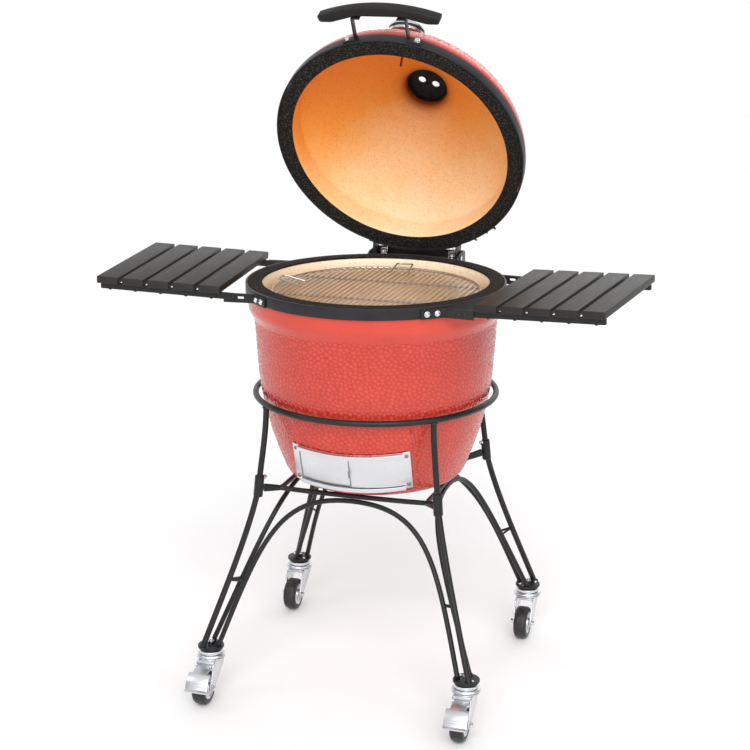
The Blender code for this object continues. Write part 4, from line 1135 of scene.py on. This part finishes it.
# ---- Hinge and lift springs ----
HINGE_Y = LID_HINGE[1] - AXIS_Y
HINGE_Z = LID_HINGE[2] - FOOT_STACK
PIN = 0.004
EAR_X = 0.1065
ARM_X = 0.099
SPRING_X = 0.083


def spring_ends():
    """Foot and head of the lift springs at rest, in the grill's frame, without their X."""
    return Vector((0, 0.306, RIM_Z - BAND_HEIGHT - 0.024)), Vector((0, 0.3185, 0.894))


def build_hinge():
    strap = BAND_OUTER + GAP
    low = RIM_Z - BAND_HEIGHT + 0.001
    wrap = placed(swept(box_profile(strap, strap + 0.003, low, low + 0.022, 0.0007), 24, 48), spun(180))
    parts = [wrap]
    top = HINGE_Z + 0.01
    for sx in (-1, 1):
        outline = [(0.2637, low + 0.001), (0.325, low - 0.03), (0.34, low - 0.03),
                   (0.34, HINGE_Z + 0.004), (0.334, top), (0.318, top),
                   (0.286, HINGE_Z + 0.007), (0.2637, low + 0.02)]
        parts.append(upright(rounded(outline, 0.004, 4, closed=True), 0.003, sx * EAR_X))
    for sx in (-1, 1):
        parts.append(placed(pipe([(-0.0085, 0, 0), (0.0085, 0, 0)], PIN, 24),
                            at(sx * (EAR_X - 0.0045), HINGE_Y, HINGE_Z)))
    parts.append(block((2 * EAR_X, 0.038, 0.003), (0, 0.321, low - 0.027), 0.0008))
    high = top - 0.001
    parts.append(block((2 * EAR_X, 0.003, high - low + 0.028), (0, 0.3385, (high + low - 0.028) / 2), 0.0008))
    foot, _ = spring_ends()
    for sx in (-1, 1):
        parts.append(placed(pipe([(-0.0095, 0, 0), (0.0095, 0, 0)], 0.0025, 16),
                            at(sx * SPRING_X, foot.y, foot.z)))
    piece("hinge_lower", parts, "steel_black", "base", ["hinge_base"])

    rim = RIM_Z + GAP + 0.0012
    strap_lid = placed(swept(box_profile(strap, strap + 0.003, rim, rim + 0.02, 0.0007), 22.5, 48), spun(180))
    parts = [strap_lid]
    eye = 0.009
    bore = placed(drum(PIN + 0.0004, 0.01, -0.01, 32),
                  spun(90, "Y"))
    for sx in (-1, 1):
        outline = [(0.2666, rim + 0.004), (HINGE_Y - 0.003, HINGE_Z - eye), (HINGE_Y + 0.006, HINGE_Z - eye),
                   (HINGE_Y + eye, HINGE_Z), (0.298, 0.917), (0.288, 0.923), (0.2666, rim + 0.019)]
        arm = upright(rounded(outline, 0.003, 4, closed=True), 0.003, sx * ARM_X)
        hole = placed(bore.copy(), at(sx * ARM_X, HINGE_Y, HINGE_Z))
        parts.append(cut(arm, hole))
    parts.append(placed(pipe([(-0.1005, 0, 0), (0.1005, 0, 0)], 0.003, 16), at(0, 0.289, 0.914)))
    piece("hinge_upper", parts, "steel_black", "lid", ["hinge_lid"], matrix=LID)

    bolts = []
    for angle in (-15, 0, 15):
        bolts.append(placed(hex_head(0.009, 0.0045), on_band(180 + angle, low + 0.011, strap + 0.003)))
    for sx in (-1, 1):
        bolts.append(placed(hex_head(0.011, 0.0038), aimed((sx * (EAR_X + 0.0017), HINGE_Y, HINGE_Z),
                                                            (sx, 0, 0))))
    piece("hinge_bolts_lower", bolts, "chrome", "base")
    bolts = [placed(hex_head(0.009, 0.0045), on_band(180 + angle, rim + 0.01, strap + 0.003))
             for angle in (-14, 0, 14)]
    piece("hinge_bolts_upper", bolts, "chrome", "lid", matrix=LID)
    studs = [placed(nut_on_stud(0.0075, 0.003, 0.0022, 0.008), on_band(angle, rim + height, BAND_OUTER))
             for angle, height in ((137, 0.006), (143, 0.014), (149, 0.006), (153.5, 0.014))]
    piece("band_studs", studs, "steel_black", "lid", slot="band", matrix=LID)


def build_springs():
    """Close-wound extension springs with hooked ends, drawn at rest from the base up to the lid."""
    foot, head = spring_ends()
    along = head - foot
    length = along.length
    turn = Vector((0, 0, 1)).rotation_difference(along).to_matrix().to_4x4()
    coil, wire, turns = 0.0093, 0.00115, 13
    start, end = 0.008, length - 0.008
    hook = [(0, 0, 0.0012), (0.0036, 0, 0.0022), (0.0052, 0, 0.0046), (0.0074, 0, 0.0066)]
    path = list(hook)
    steps = turns * 20
    for i in range(steps + 1):
        a = tau * i / 20
        path.append((coil * cos(a), coil * sin(a), start + (end - start) * i / steps))
    path += [(x, y, length - z) for x, y, z in reversed(hook)]
    for side, sx in SIDES:
        place = GRILL @ at(sx * SPRING_X, foot.y, foot.z) @ turn
        mesh = placed(pipe(path, wire, 8), place)
        obj = piece(f"coil_{side}", mesh, "chrome", None, [f"lift_spring_{side}"], matrix=Matrix())
        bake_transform(obj)


# ---- Side shelves ----
SHELF_TURN = 5.36
SHELF_TILT = 2.2
SHELF_PIN = 0.2695
SHELF_PIN_Z = 0.866
SLAT_SIZE = (0.047, 0.379, 0.0155)
SLAT_PITCH = 0.0564
SLAT_FIRST = 0.0492
SLAT_BASE = 0.0091
RAIL_OFFSET = 0.1695
RAIL_THICK = 0.006
RAIL_HEIGHT = 0.0142


def slat_mesh():
    """A moulded slat: softened all round, hollow underneath between its end ribs."""
    wide, long, thick = SLAT_SIZE
    body = block((wide, long, thick), edge=0.0021, steps=4)
    cuts = [block((wide - 0.009, 0.104, 0.01), (0, y, -thick / 2), 0.002) for y in (-0.056, 0.056)]
    return cut(body, joined(cuts))


def build_shelves():
    slat = slat_mesh()
    for side, sx in SIDES:
        turn = GRILL @ spun(-sx * SHELF_TURN)
        pivot = turn @ at(sx * SHELF_PIN, 0, SHELF_PIN_Z) @ spun(-sx * SHELF_TILT, "Y")
        for i in range(5):
            place = pivot @ at(sx * (SLAT_FIRST + i * SLAT_PITCH), 0, SLAT_BASE + SLAT_SIZE[2] / 2)
            piece(f"shelf_slat_{side}_{i + 1}", slat.copy(), "slat", f"shelf_{side}",
                  [f"slat_{side}_{i + 1}"], matrix=place, smooth=40)
        start, end = -0.0085, SLAT_FIRST + 4 * SLAT_PITCH + SLAT_SIZE[0] / 2 - 0.003
        top = SLAT_BASE - GAP
        screws = []
        for end_name, sy in ENDS:
            outline = rounded([(start, top - RAIL_HEIGHT), (end, top - RAIL_HEIGHT), (end, top),
                               (start, top)], 0.0035, 4, closed=True)
            rail = placed(slab([(sx * x, z) for x, z in outline], RAIL_THICK, 0.0007),
                          at(0, sy * RAIL_OFFSET, 0) @ spun(90, "X"))
            hole = placed(drum(0.0034, 0.01, -0.01, 24),
                          at(0, sy * RAIL_OFFSET, 0) @ spun(90, "X"))
            piece(f"shelf_arm_{side}_{end_name}", cut(rail, hole), "steel_black", f"shelf_{side}",
                  [f"shelf_rail_{side}_{end_name}"], matrix=pivot)
            for i in range(5):
                spot = (sx * (SLAT_FIRST + i * SLAT_PITCH), sy * RAIL_OFFSET, top - RAIL_HEIGHT)
                screws.append(placed(dome_head(0.0036, 0.0024, 20), aimed(spot, (0, 0, -1))))
            piece(f"shelf_hanger_{side}_{end_name}", hanger_mesh(sx, sy), "steel_black", "base",
                  [f"shelf_bracket_{side}_{end_name}"], matrix=turn)
        piece(f"shelf_screws_{side}", screws, "steel_black", f"shelf_{side}", matrix=pivot)
        piece(f"hanger_bolts_{side}", hanger_bolts(sx), "chrome", "base", matrix=turn)


def hanger_path(thick):
    inner = BAND_OUTER + GAP
    plate_y = RAIL_OFFSET + RAIL_THICK / 2 + GAP + thick / 2
    radius = inner + thick / 2
    path = [(radius * cos(radians(a)), radius * sin(radians(a)))
            for a in (48.2, 46.2, 44.2, 42.2, 40.3, 38.4)]
    return path + [(0.2285, plate_y), (0.29, plate_y)], plate_y


def hanger_mesh(sx, sy):
    """A strap that follows the band, bends outwards and carries the fold pin, with the lock slot's edge."""
    thick = 0.0036
    path, plate_y = hanger_path(thick)
    path = rounded(path, 0.006, 4)
    left, right = [], []
    for i, (x, y) in enumerate(path):
        before, after = path[max(i - 1, 0)], path[min(i + 1, len(path) - 1)]
        dx, dy = after[0] - before[0], after[1] - before[1]
        size = hypot(dx, dy)
        left.append((x - dy / size * thick / 2, y + dx / size * thick / 2))
        right.append((x + dy / size * thick / 2, y - dx / size * thick / 2))
    outline = [(sx * x, sy * y) for x, y in left + right[::-1]]
    strap = placed(slab(outline, 0.02, 0.0006), at(0, 0, SHELF_PIN_Z))
    slot = placed(slab(rounded([(0.245, -0.0026), (0.26, -0.0026), (0.26, 0.0026), (0.245, 0.0026)], 0.0025,
                               4, closed=True), 0.02, 0), spun(90, "X"))
    if sx < 0:
        slot = placed(slot, Matrix.Scale(-1, 4, (1, 0, 0)))
        slot.flip_normals()
    strap = cut(strap, placed(slot, at(0, sy * plate_y, SHELF_PIN_Z + 0.001)))
    pin = placed(pipe([(0, -0.0065, 0), (0, 0.0065, 0)], 0.003, 20),
                 at(sx * SHELF_PIN, sy * (plate_y - 0.003), SHELF_PIN_Z))
    head = placed(dome_head(0.0052, 0.0026), aimed((sx * SHELF_PIN, sy * (plate_y + thick / 2), SHELF_PIN_Z),
                                                   (0, sy, 0)))
    return joined([strap, pin, head])


def hanger_bolts(sx):
    parts = []
    for sy in (-1, 1):
        for angle in (41, 45.6):
            a = radians(angle)
            radius = BAND_OUTER + GAP + 0.0036
            place = aimed((sx * radius * cos(a), sy * radius * sin(a), SHELF_PIN_Z + 0.0005),
                          (sx * cos(a), sy * sin(a), 0))
            washer = drum(0.0062, 0, 0.0009, 28)
            parts += [placed(washer, place), placed(dome_head(0.0048, 0.004), place @ at(0, 0, 0.0009))]
    return joined(parts)


# ---- Stand ----
STAND_RING = 0.2635
STAND_RING_Z = 0.6337
ROD = 0.0065
ARCH_ROD = 0.0055
SOCKET_RADIUS = 0.2835
SOCKET_Z = 0.4545
LEG_FOOT = 0.424
FOOT_X = 0.288
FOOT_Y = 0.279
FOOT_Z = 0.101
FOOT_THICK = 0.006
FOOT_RADIUS = 0.0285
CRADLE_REACH = 0.165
CRADLE_Z = 0.4405
ARCH_TOP = 0.429


def on_diagonal(radius, z, sx, sy):
    return (sx * radius / sqrt(2), sy * radius / sqrt(2), z)


def weld_bead(centre, direction, radius, size=0.0019, seed=0):
    """The uneven bead of weld round a rod's end."""
    rng = random.Random(seed)
    place = aimed(centre, direction)
    path = []
    for k in range(20):
        a = tau * k / 20
        swing = radius + rng.uniform(-0.0004, 0.0005)
        path.append(place @ Vector((swing * cos(a), swing * sin(a), rng.uniform(-0.0004, 0.0004))))
    return pipe(path, [size * rng.uniform(0.8, 1.2) for _ in path], 8, closed=True)


def leg_path(sx, sy):
    places = ((SOCKET_RADIUS, SOCKET_Z), (SOCKET_RADIUS + 0.02, 0.3645), (LEG_FOOT - 0.055, 0.227),
              (LEG_FOOT, FOOT_Z + 0.003))
    return bezier(*(on_diagonal(radius, z, sx, sy) for radius, z in places), 28)


def arch_path(reach_x, reach_y):
    foot_x = reach_x - 0.019
    foot_y = reach_y + 0.002
    foot_z = FOOT_Z + FOOT_THICK + GAP
    apex_y = CRADLE_REACH + 0.001
    half = []
    for place in bezier((0, 0, ARCH_TOP), (0.165, 0, ARCH_TOP), (foot_x - 0.072, 0, foot_z + 0.228),
                        (foot_x, 0, foot_z + 0.0004), 26):
        share = (ARCH_TOP - place.z) / (ARCH_TOP - foot_z)
        half.append(Vector((place.x, -(apex_y + share * (foot_y - apex_y)), place.z)))
    half[-1].z = foot_z + 0.001
    return [Vector((-p.x, p.y, p.z)) for p in reversed(half[1:])] + half


def point_at_height(path, z):
    return min(path, key=lambda p: abs(p.z - z))


def build_crown():
    ring = circle(STAND_RING, STAND_RING_Z, 160)
    frame_parts = [pipe(ring, ROD, 20, closed=True)]
    for n, (_, sx, sy) in enumerate(CORNERS):
        end = on_diagonal(SOCKET_RADIUS - 0.0007, SOCKET_Z + 0.006, sx, sy)
        top = on_diagonal(STAND_RING, STAND_RING_Z, sx, sy)
        frame_parts.append(pipe(bezier(top, on_diagonal(STAND_RING, 0.57, sx, sy),
                                       on_diagonal(SOCKET_RADIUS - 0.0067, 0.515, sx, sy), end, 24), ROD, 20))
        frame_parts.append(weld_bead((top[0], top[1], STAND_RING_Z - ROD * 0.95), (0, 0, 1), ROD * 0.98,
                                     seed=n))
    piece("stand_crown", frame_parts, "steel_black", "base", ["stand_upper_frame"])


def build_arches():
    arches = {}
    for name, quarter in (("front", 0), ("right", 1), ("rear", 2), ("left", 3)):
        reach = (FOOT_X, FOOT_Y) if quarter % 2 == 0 else (FOOT_Y, FOOT_X)
        turn = spun(90 * quarter)
        path = [turn @ p for p in arch_path(*reach)]
        arches[name] = path
        parts = [pipe(path, ARCH_ROD, 18)]
        for k, end in enumerate((path[0], path[-1])):
            parts.append(weld_bead(end + Vector((0, 0, 0.0012)), (0, 0, 1), ARCH_ROD, 0.0016,
                                   40 + quarter * 2 + k))
        piece(f"stand_bow_{name}", parts, "steel_black", "base", [f"stand_arch_{name}"])
    return arches


def build_legs(arches):
    bolts = []
    plates = []
    for n, (name, sx, sy) in enumerate(CORNERS):
        path = leg_path(sx, sy)
        lean = Vector(on_diagonal(0.005, -0.045, sx, sy))
        top = Vector(on_diagonal(SOCKET_RADIUS, SOCKET_Z, sx, sy)) - lean / 2
        sleeve = lathe(rounded([(0.0102, 0), (0.0102, lean.length), (0.0066, lean.length),
                                (0.0066, lean.length * 0.55), (0.0078, lean.length * 0.5), (0.0078, 0)],
                                0.0008, 3, closed=True), 28)
        parts = [pipe(path, ROD, 20), placed(sleeve, aimed(top, lean))]
        parts.append(weld_bead(top + lean, lean, ROD + 0.0008, 0.0017, 60 + n))
        foot = (sx * FOOT_X, sy * FOOT_Y, FOOT_Z)
        disc = [(0, FOOT_THICK), (FOOT_RADIUS - 0.001, FOOT_THICK), (FOOT_RADIUS, FOOT_THICK - 0.001),
                (FOOT_RADIUS, 0.001), (FOOT_RADIUS - 0.001, 0), (0, 0)]
        parts.append(placed(lathe(disc, 56, closed=False), at(*foot)))
        parts.append(placed(drum(0.017, 0.0005, -0.005, 56), at(*foot)))
        plate = rounded([(0, -0.004), (0.024, -0.004), (0.0258, -0.0052), (0.0258, 0.0003 - FOOT_STACK),
                         (0, 0.0003 - FOOT_STACK)], 0.0008, 3)
        plates.append(placed(lathe(plate, 56, closed=False), at(*foot)))
        landing = path[-1]
        parts.append(weld_bead((landing.x, landing.y, FOOT_Z + FOOT_THICK + 0.0006), (0, 0, 1), ROD + 0.0006,
                               0.0018, 80 + n))
        for neighbour in (ENDS[0][0] if sy < 0 else ENDS[1][0], SIDES[0][0] if sx < 0 else SIDES[1][0]):
            near = point_at_height(path, 0.247)
            bow = [p for p in arches[neighbour] if p.x * sx > 0 and p.y * sy > 0]
            other = point_at_height(bow, 0.25)
            middle = (near + other) / 2
            across = other - near
            tab = block((0.007, 0.0035, across.length), edge=0.001)
            parts.append(placed(tab, aimed(middle, across)))
        piece(f"stand_strut_{name}", parts, "steel_black", "base", [f"stand_leg_{name}"])

        inwards = Vector((-sx, -sy, 0)).normalized()
        centre = Vector(on_diagonal(SOCKET_RADIUS, SOCKET_Z, sx, sy)) - lean * 0.22
        clamp = aimed(centre + Vector((0, 0, 0.0085)) + inwards * 0.0098, inwards)
        stud = lathe([(0, 0), (0.0046, 0), (0.0046, 0.011), (0.0036, 0.012), (0, 0.012)], 24, closed=False)
        above = at(foot[0], foot[1], FOOT_Z + FOOT_THICK)
        cap = placed(dome_head(0.003, 0.0028), clamp @ at(0, 0, 0.0056))
        bolts += [placed(hex_head(0.01, 0.0056), clamp), cap, placed(hex_head(0.013, 0.008), above),
                  placed(stud, above)]
        bolts += [placed(dome_head(0.004, 0.0026), above @ spun(angle * sx * sy) @ at(0.0195, 0, 0))
                  for angle in (35, -145)]
    piece("stand_bolts", bolts, "chrome", "base")
    piece("caster_plates", plates, "zinc", "base")


def build_cross_bars():
    bars = []
    for quarter in range(2):
        lift = 0.0035 * (1 - 2 * quarter)
        for sy in (-1, 1):
            path = []
            for x, y, z in ((-0.192, 0.192, 0.4485), (-0.172, 0.1735, 0.444), (-0.155, 0.165, 0.4415),
                            (-0.08, CRADLE_REACH, CRADLE_Z), (0.08, CRADLE_REACH, CRADLE_Z),
                            (0.155, 0.165, 0.4415), (0.172, 0.1735, 0.444), (0.192, 0.192, 0.4485)):
                share = max(0, (abs(x) - 0.15) / 0.042)
                path.append((x, sy * y, z + lift * share))
            bars.append(placed(pipe(smooth_path(path, 6), ARCH_ROD, 16), spun(90 * quarter)))
    piece("stand_cross_bars", bars, "steel_black", "base", ["stand_cradle"])


# ---- Casters ----
WHEEL_RADIUS = 0.0375
WHEEL_WIDTH = 0.03
WHEEL_TRAIL = 0.046
AXLE = 0.004
PEDAL = (0, -0.032, 0.0805)


def fork_mesh():
    top = FOOT_Z - GAP
    parts = []
    upper = rounded([(0, top), (0.029, top), (0.031, top - 0.003), (0.031, top - 0.0052),
                     (0.027, top - 0.0058), (0.027, top - 0.0066), (0.031, top - 0.0072),
                     (0.031, top - 0.009), (0.026, top - 0.011), (0, top - 0.011)], 0.0012, 3)
    parts.append(lathe(upper, 72, closed=False))
    neck = top - 0.01
    wide = 0.021
    sheet = 0.0025
    outline = [(0.022, neck), (0.022, 0.074), (-WHEEL_TRAIL + 0.011, 0.033), (-WHEEL_TRAIL, 0.028),
               (-WHEEL_TRAIL - 0.01, 0.032), (-WHEEL_TRAIL - 0.01, 0.043), (-0.042, 0.074),
               (-0.04, 0.085), (-0.03, neck)]
    outline = rounded(outline, 0.007, 5, closed=True)
    for sx in (-1, 1):
        parts.append(upright(outline, sheet, sx * (wide - sheet / 2), 0.0006))
        boss = dome_head(0.0085, 0.0012, 32)
        parts.append(placed(boss, aimed((sx * wide, -WHEEL_TRAIL, WHEEL_RADIUS), (sx, 0, 0))))
    parts.append(block((2 * wide - 0.001, 0.0515, 0.004), (0, -0.0042, neck - 0.0022), 0.0012))
    return joined(parts)


def axle_mesh():
    """The wheel's bolt: head, washers and nut outside the fork, with its end showing."""
    reach, wide = 0.0285, 0.021
    parts = [pipe([(-reach + 0.001, 0, 0), (reach - 0.005, 0, 0)], AXLE - 0.0002, 20)]
    washer = drum(0.0068, 0, 0.0012, 32)
    for sx in (-1, 1):
        parts.append(placed(washer.copy(), aimed((sx * (wide + 0.0012), 0, 0), (sx, 0, 0))))
        parts.append(placed(hex_head(0.0105, 0.0048), aimed((sx * (wide + 0.0024), 0, 0), (sx, 0, 0))))
    return placed(joined(parts), at(0, -WHEEL_TRAIL, WHEEL_RADIUS))


def tyre_mesh():
    half = WHEEL_WIDTH / 2
    crown = WHEEL_RADIUS - 0.0001
    tread = [(crown - 0.0075, half), (crown - 0.003, half - 0.0016), (crown - 0.0006, half - 0.0055),
             (crown, half - 0.01), (crown, 0), (crown, -half + 0.01), (crown - 0.0006, -half + 0.0055),
             (crown - 0.003, -half + 0.0016), (crown - 0.0075, -half)]
    profile = smooth_path(tread, 4) + [(0.0262, -half), (0.0252, -half + 0.001), (0.0252, half - 0.001),
                                       (0.0262, half)]
    return placed(lathe(profile, 72), spun(90, "Y"))


def rim_mesh():
    """The wheel's plated core: side plates with a bead, and a bearing collar."""
    half = WHEEL_WIDTH / 2
    inner = AXLE + 0.0005
    side = [(0.025, half - 0.0004), (0.0238, half - 0.0012), (0.0225, half - 0.0036), (0.013, half - 0.004),
            (0.0118, half - 0.003), (0.0112, half + 0.0002), (0.01, half + 0.0018), (inner, half + 0.0018)]
    profile = rounded([*side, *[(r, -z) for r, z in reversed(side)]], 0.0006, 2, closed=True)
    return placed(lathe(profile, 64), spun(90, "Y"))


def pedal_mesh():
    centre_y = -WHEEL_TRAIL - PEDAL[1]
    centre_z = WHEEL_RADIUS - PEDAL[2]
    inner = WHEEL_RADIUS + 0.004
    outer = inner + 0.0028

    def around(radius, degrees):
        angle = radians(degrees)
        return (centre_y + radius * cos(angle), centre_z + radius * sin(angle))

    arm = upright([(0.004, 0.0036), around(outer, 100), around(outer, 118), around(outer, 125),
                   around(inner, 125), around(inner, 112), around(inner, 100), (0.004, -0.0036)], 0.034, 0,
                   0.0007)
    arm = cut(arm, placed(drum(0.0026, 0.05, -0.05, 24),
                              spun(90, "Y")))
    lip_y, lip_z = around(outer, 168)
    outline = [around(outer, a) for a in (115, 122, 130, 140, 150, 160)]
    outline += [(lip_y, lip_z + 0.002), (lip_y - 0.007, lip_z), (lip_y - 0.007, lip_z - 0.0028)]
    outline += [around(inner, a) for a in (170, 160, 150, 140, 130, 122, 115)]
    guard = upright(outline, 0.05, 0, 0.0009)
    ribs = []
    for angle in (149, 156):
        y, z = around(outer, angle)
        ribs.append(placed(pipe([(-0.015, 0, 0), (0.015, 0, 0)], 0.0009, 10), at(0, y, z)))
    return joined([arm, guard] + ribs)


def build_casters():
    fork, axle, tyre, rim, pedal = fork_mesh(), axle_mesh(), tyre_mesh(), rim_mesh(), pedal_mesh()
    for name, sx, sy in CORNERS:
        swivel = FLOOR @ at(sx * FOOT_X, sy * FOOT_Y, 0)
        wheel = swivel @ at(0, -WHEEL_TRAIL, WHEEL_RADIUS)
        body = f"caster_{name}"
        piece(f"caster_yoke_{name}", fork.copy(), "zinc", body, [f"caster_fork_{name}"], matrix=swivel)
        piece(f"caster_axle_{name}", axle.copy(), "chrome", body, slot="zinc", matrix=swivel)
        piece(f"caster_tyre_{name}", tyre.copy(), "tyre", f"wheel_{name}", [f"caster_wheel_{name}"],
              matrix=wheel, smooth=40)
        piece(f"caster_rim_{name}", rim.copy(), "zinc", f"wheel_{name}", matrix=wheel)
        if sy < 0:
            side = "left" if sx < 0 else "right"
            piece(f"foot_brake_{side}", pedal.copy(), "zinc", f"pedal_{name}", [f"brake_pedal_{name}"],
                  matrix=swivel @ at(*PEDAL))
            pin = pipe([(-0.0226, 0, 0), (0.0226, 0, 0)], 0.0022, 16)
            piece(f"brake_pin_{side}", placed(pin, at(*PEDAL)), "zinc", body, matrix=swivel)


# ---- Floor, lights and camera ----
CAMERA_AZIMUTH = radians(17.916)
CAMERA_ELEVATION = radians(15.371)


def world_tones(tree, source, span, stops):
    """Grey tones along one direction of the surroundings."""
    reach = tree.nodes.new("ShaderNodeMapRange")
    reach.inputs["From Min"].default_value, reach.inputs["From Max"].default_value = span
    tree.links.new(source, reach.inputs["Value"])
    tones = tree.nodes.new("ShaderNodeValToRGB")
    elements = tones.color_ramp.elements
    while len(elements) < len(stops):
        elements.new(0.5)
    for element, (spot, tone) in zip(elements, stops):
        element.position = spot
        element.color = (tone, tone, tone, 1)
    tree.links.new(reach.outputs["Result"], tones.inputs["Fac"])
    return tones.outputs["Color"]


def build_floor():
    floor = bpy.data.objects.new("studio_floor",
                                 mesh_of([(-30, -30, 0), (30, -30, 0), (30, 30, 0), (-30, 30, 0)],
                                         [(0, 1, 2, 3)]))
    floor.data.materials.append(Shader("studio_floor", (0.93, 0.93, 0.93), 0.75).mat)
    bpy.context.scene.collection.objects.link(floor)
    floor.location.z = -0.0005


def build_world():
    world = bpy.data.worlds.new("studio")
    bpy.context.scene.world = world
    world.use_nodes = True
    tree = world.node_tree
    background = tree.nodes["Background"]
    place = tree.nodes.new("ShaderNodeTexCoord")
    split = tree.nodes.new("ShaderNodeSeparateXYZ")
    tree.links.new(place.outputs["Generated"], split.inputs["Vector"])
    toward = tree.nodes.new("ShaderNodeVectorMath")
    toward.operation = "DOT_PRODUCT"
    toward.inputs[1].default_value = (sin(CAMERA_AZIMUTH), -cos(CAMERA_AZIMUTH), 0)
    tree.links.new(place.outputs["Generated"], toward.inputs[0])
    around = world_tones(tree, toward.outputs["Value"], (-1, 1),
                         ((0, 1.3), (0.2, 1.3), (0.36, 0.22), (0.66, 0.12), (0.76, 0.9), (1, 1.15)))
    share = world_tones(tree, split.outputs["Z"], (0, 1), ((0, 0), (0.42, 0), (0.62, 1), (1, 1)))
    tones = tree.nodes.new("ShaderNodeMix")
    tones.data_type = "RGBA"
    tree.links.new(share, tones.inputs[0])
    tree.links.new(around, tones.inputs[6])
    tones.inputs[7].default_value = (0.88, 0.88, 0.88, 1)
    tree.links.new(tones.outputs[2], background.inputs["Color"])
    background.inputs["Strength"].default_value = 0.85


def build_lamps():
    lamps = (("key", (-2.6, -1.6, 2.6), 0.6, 9), ("fill", (2.8, -1.4, 2.2), 0.6, 10),
             ("back", (0.5, 3.2, 3), 2, 18))
    for name, spot, size, watts in lamps:
        light = bpy.data.lights.new(name, "AREA")
        light.shape = "RECTANGLE"
        light.size = size
        light.size_y = size * 1.3
        light.energy = watts
        lamp = bpy.data.objects.new(name, light)
        bpy.context.scene.collection.objects.link(lamp)
        aim = Vector((0, 0, 0.75)) - Vector(spot)
        lamp.location = spot
        lamp.rotation_euler = aim.to_track_quat("-Z", "Y").to_euler()
    sun = bpy.data.lights.new("front_top", "SUN")
    sun.energy = 1.8
    sun.angle = radians(45)
    lamp = bpy.data.objects.new("front_top", sun)
    lamp.rotation_euler = Vector((-0.26, 0.8, -0.62)).to_track_quat("-Z", "Y").to_euler()
    bpy.context.scene.collection.objects.link(lamp)
    bpy.context.scene.view_settings.view_transform = "Standard"


def build_camera():
    level = cos(CAMERA_ELEVATION)
    back = Vector((sin(CAMERA_AZIMUTH) * level, -cos(CAMERA_AZIMUTH) * level, sin(CAMERA_ELEVATION)))
    data = bpy.data.cameras.new("camera")
    data.lens = 86.32
    data.sensor_width = 36
    data.clip_end = 100
    camera = bpy.data.objects.new("camera", data)
    camera.location = (1.1682, -3.6204 + AXIS_Y, 1.71216 + FOOT_STACK)
    camera.rotation_euler = back.to_track_quat("Z", "Y").to_euler()
    bpy.context.scene.collection.objects.link(camera)
    bpy.context.scene.camera = camera


build_camera()
build_floor()
build_world()
build_lamps()
build_bowl()
build_dome()
build_rims()
build_fire_parts()
build_cooking_grate()
build_door()
build_handle()
build_thermometer()
build_vent()
build_hinge()
build_springs()
build_shelves()
build_crown()
build_legs(build_arches())
build_cross_bars()
build_casters()
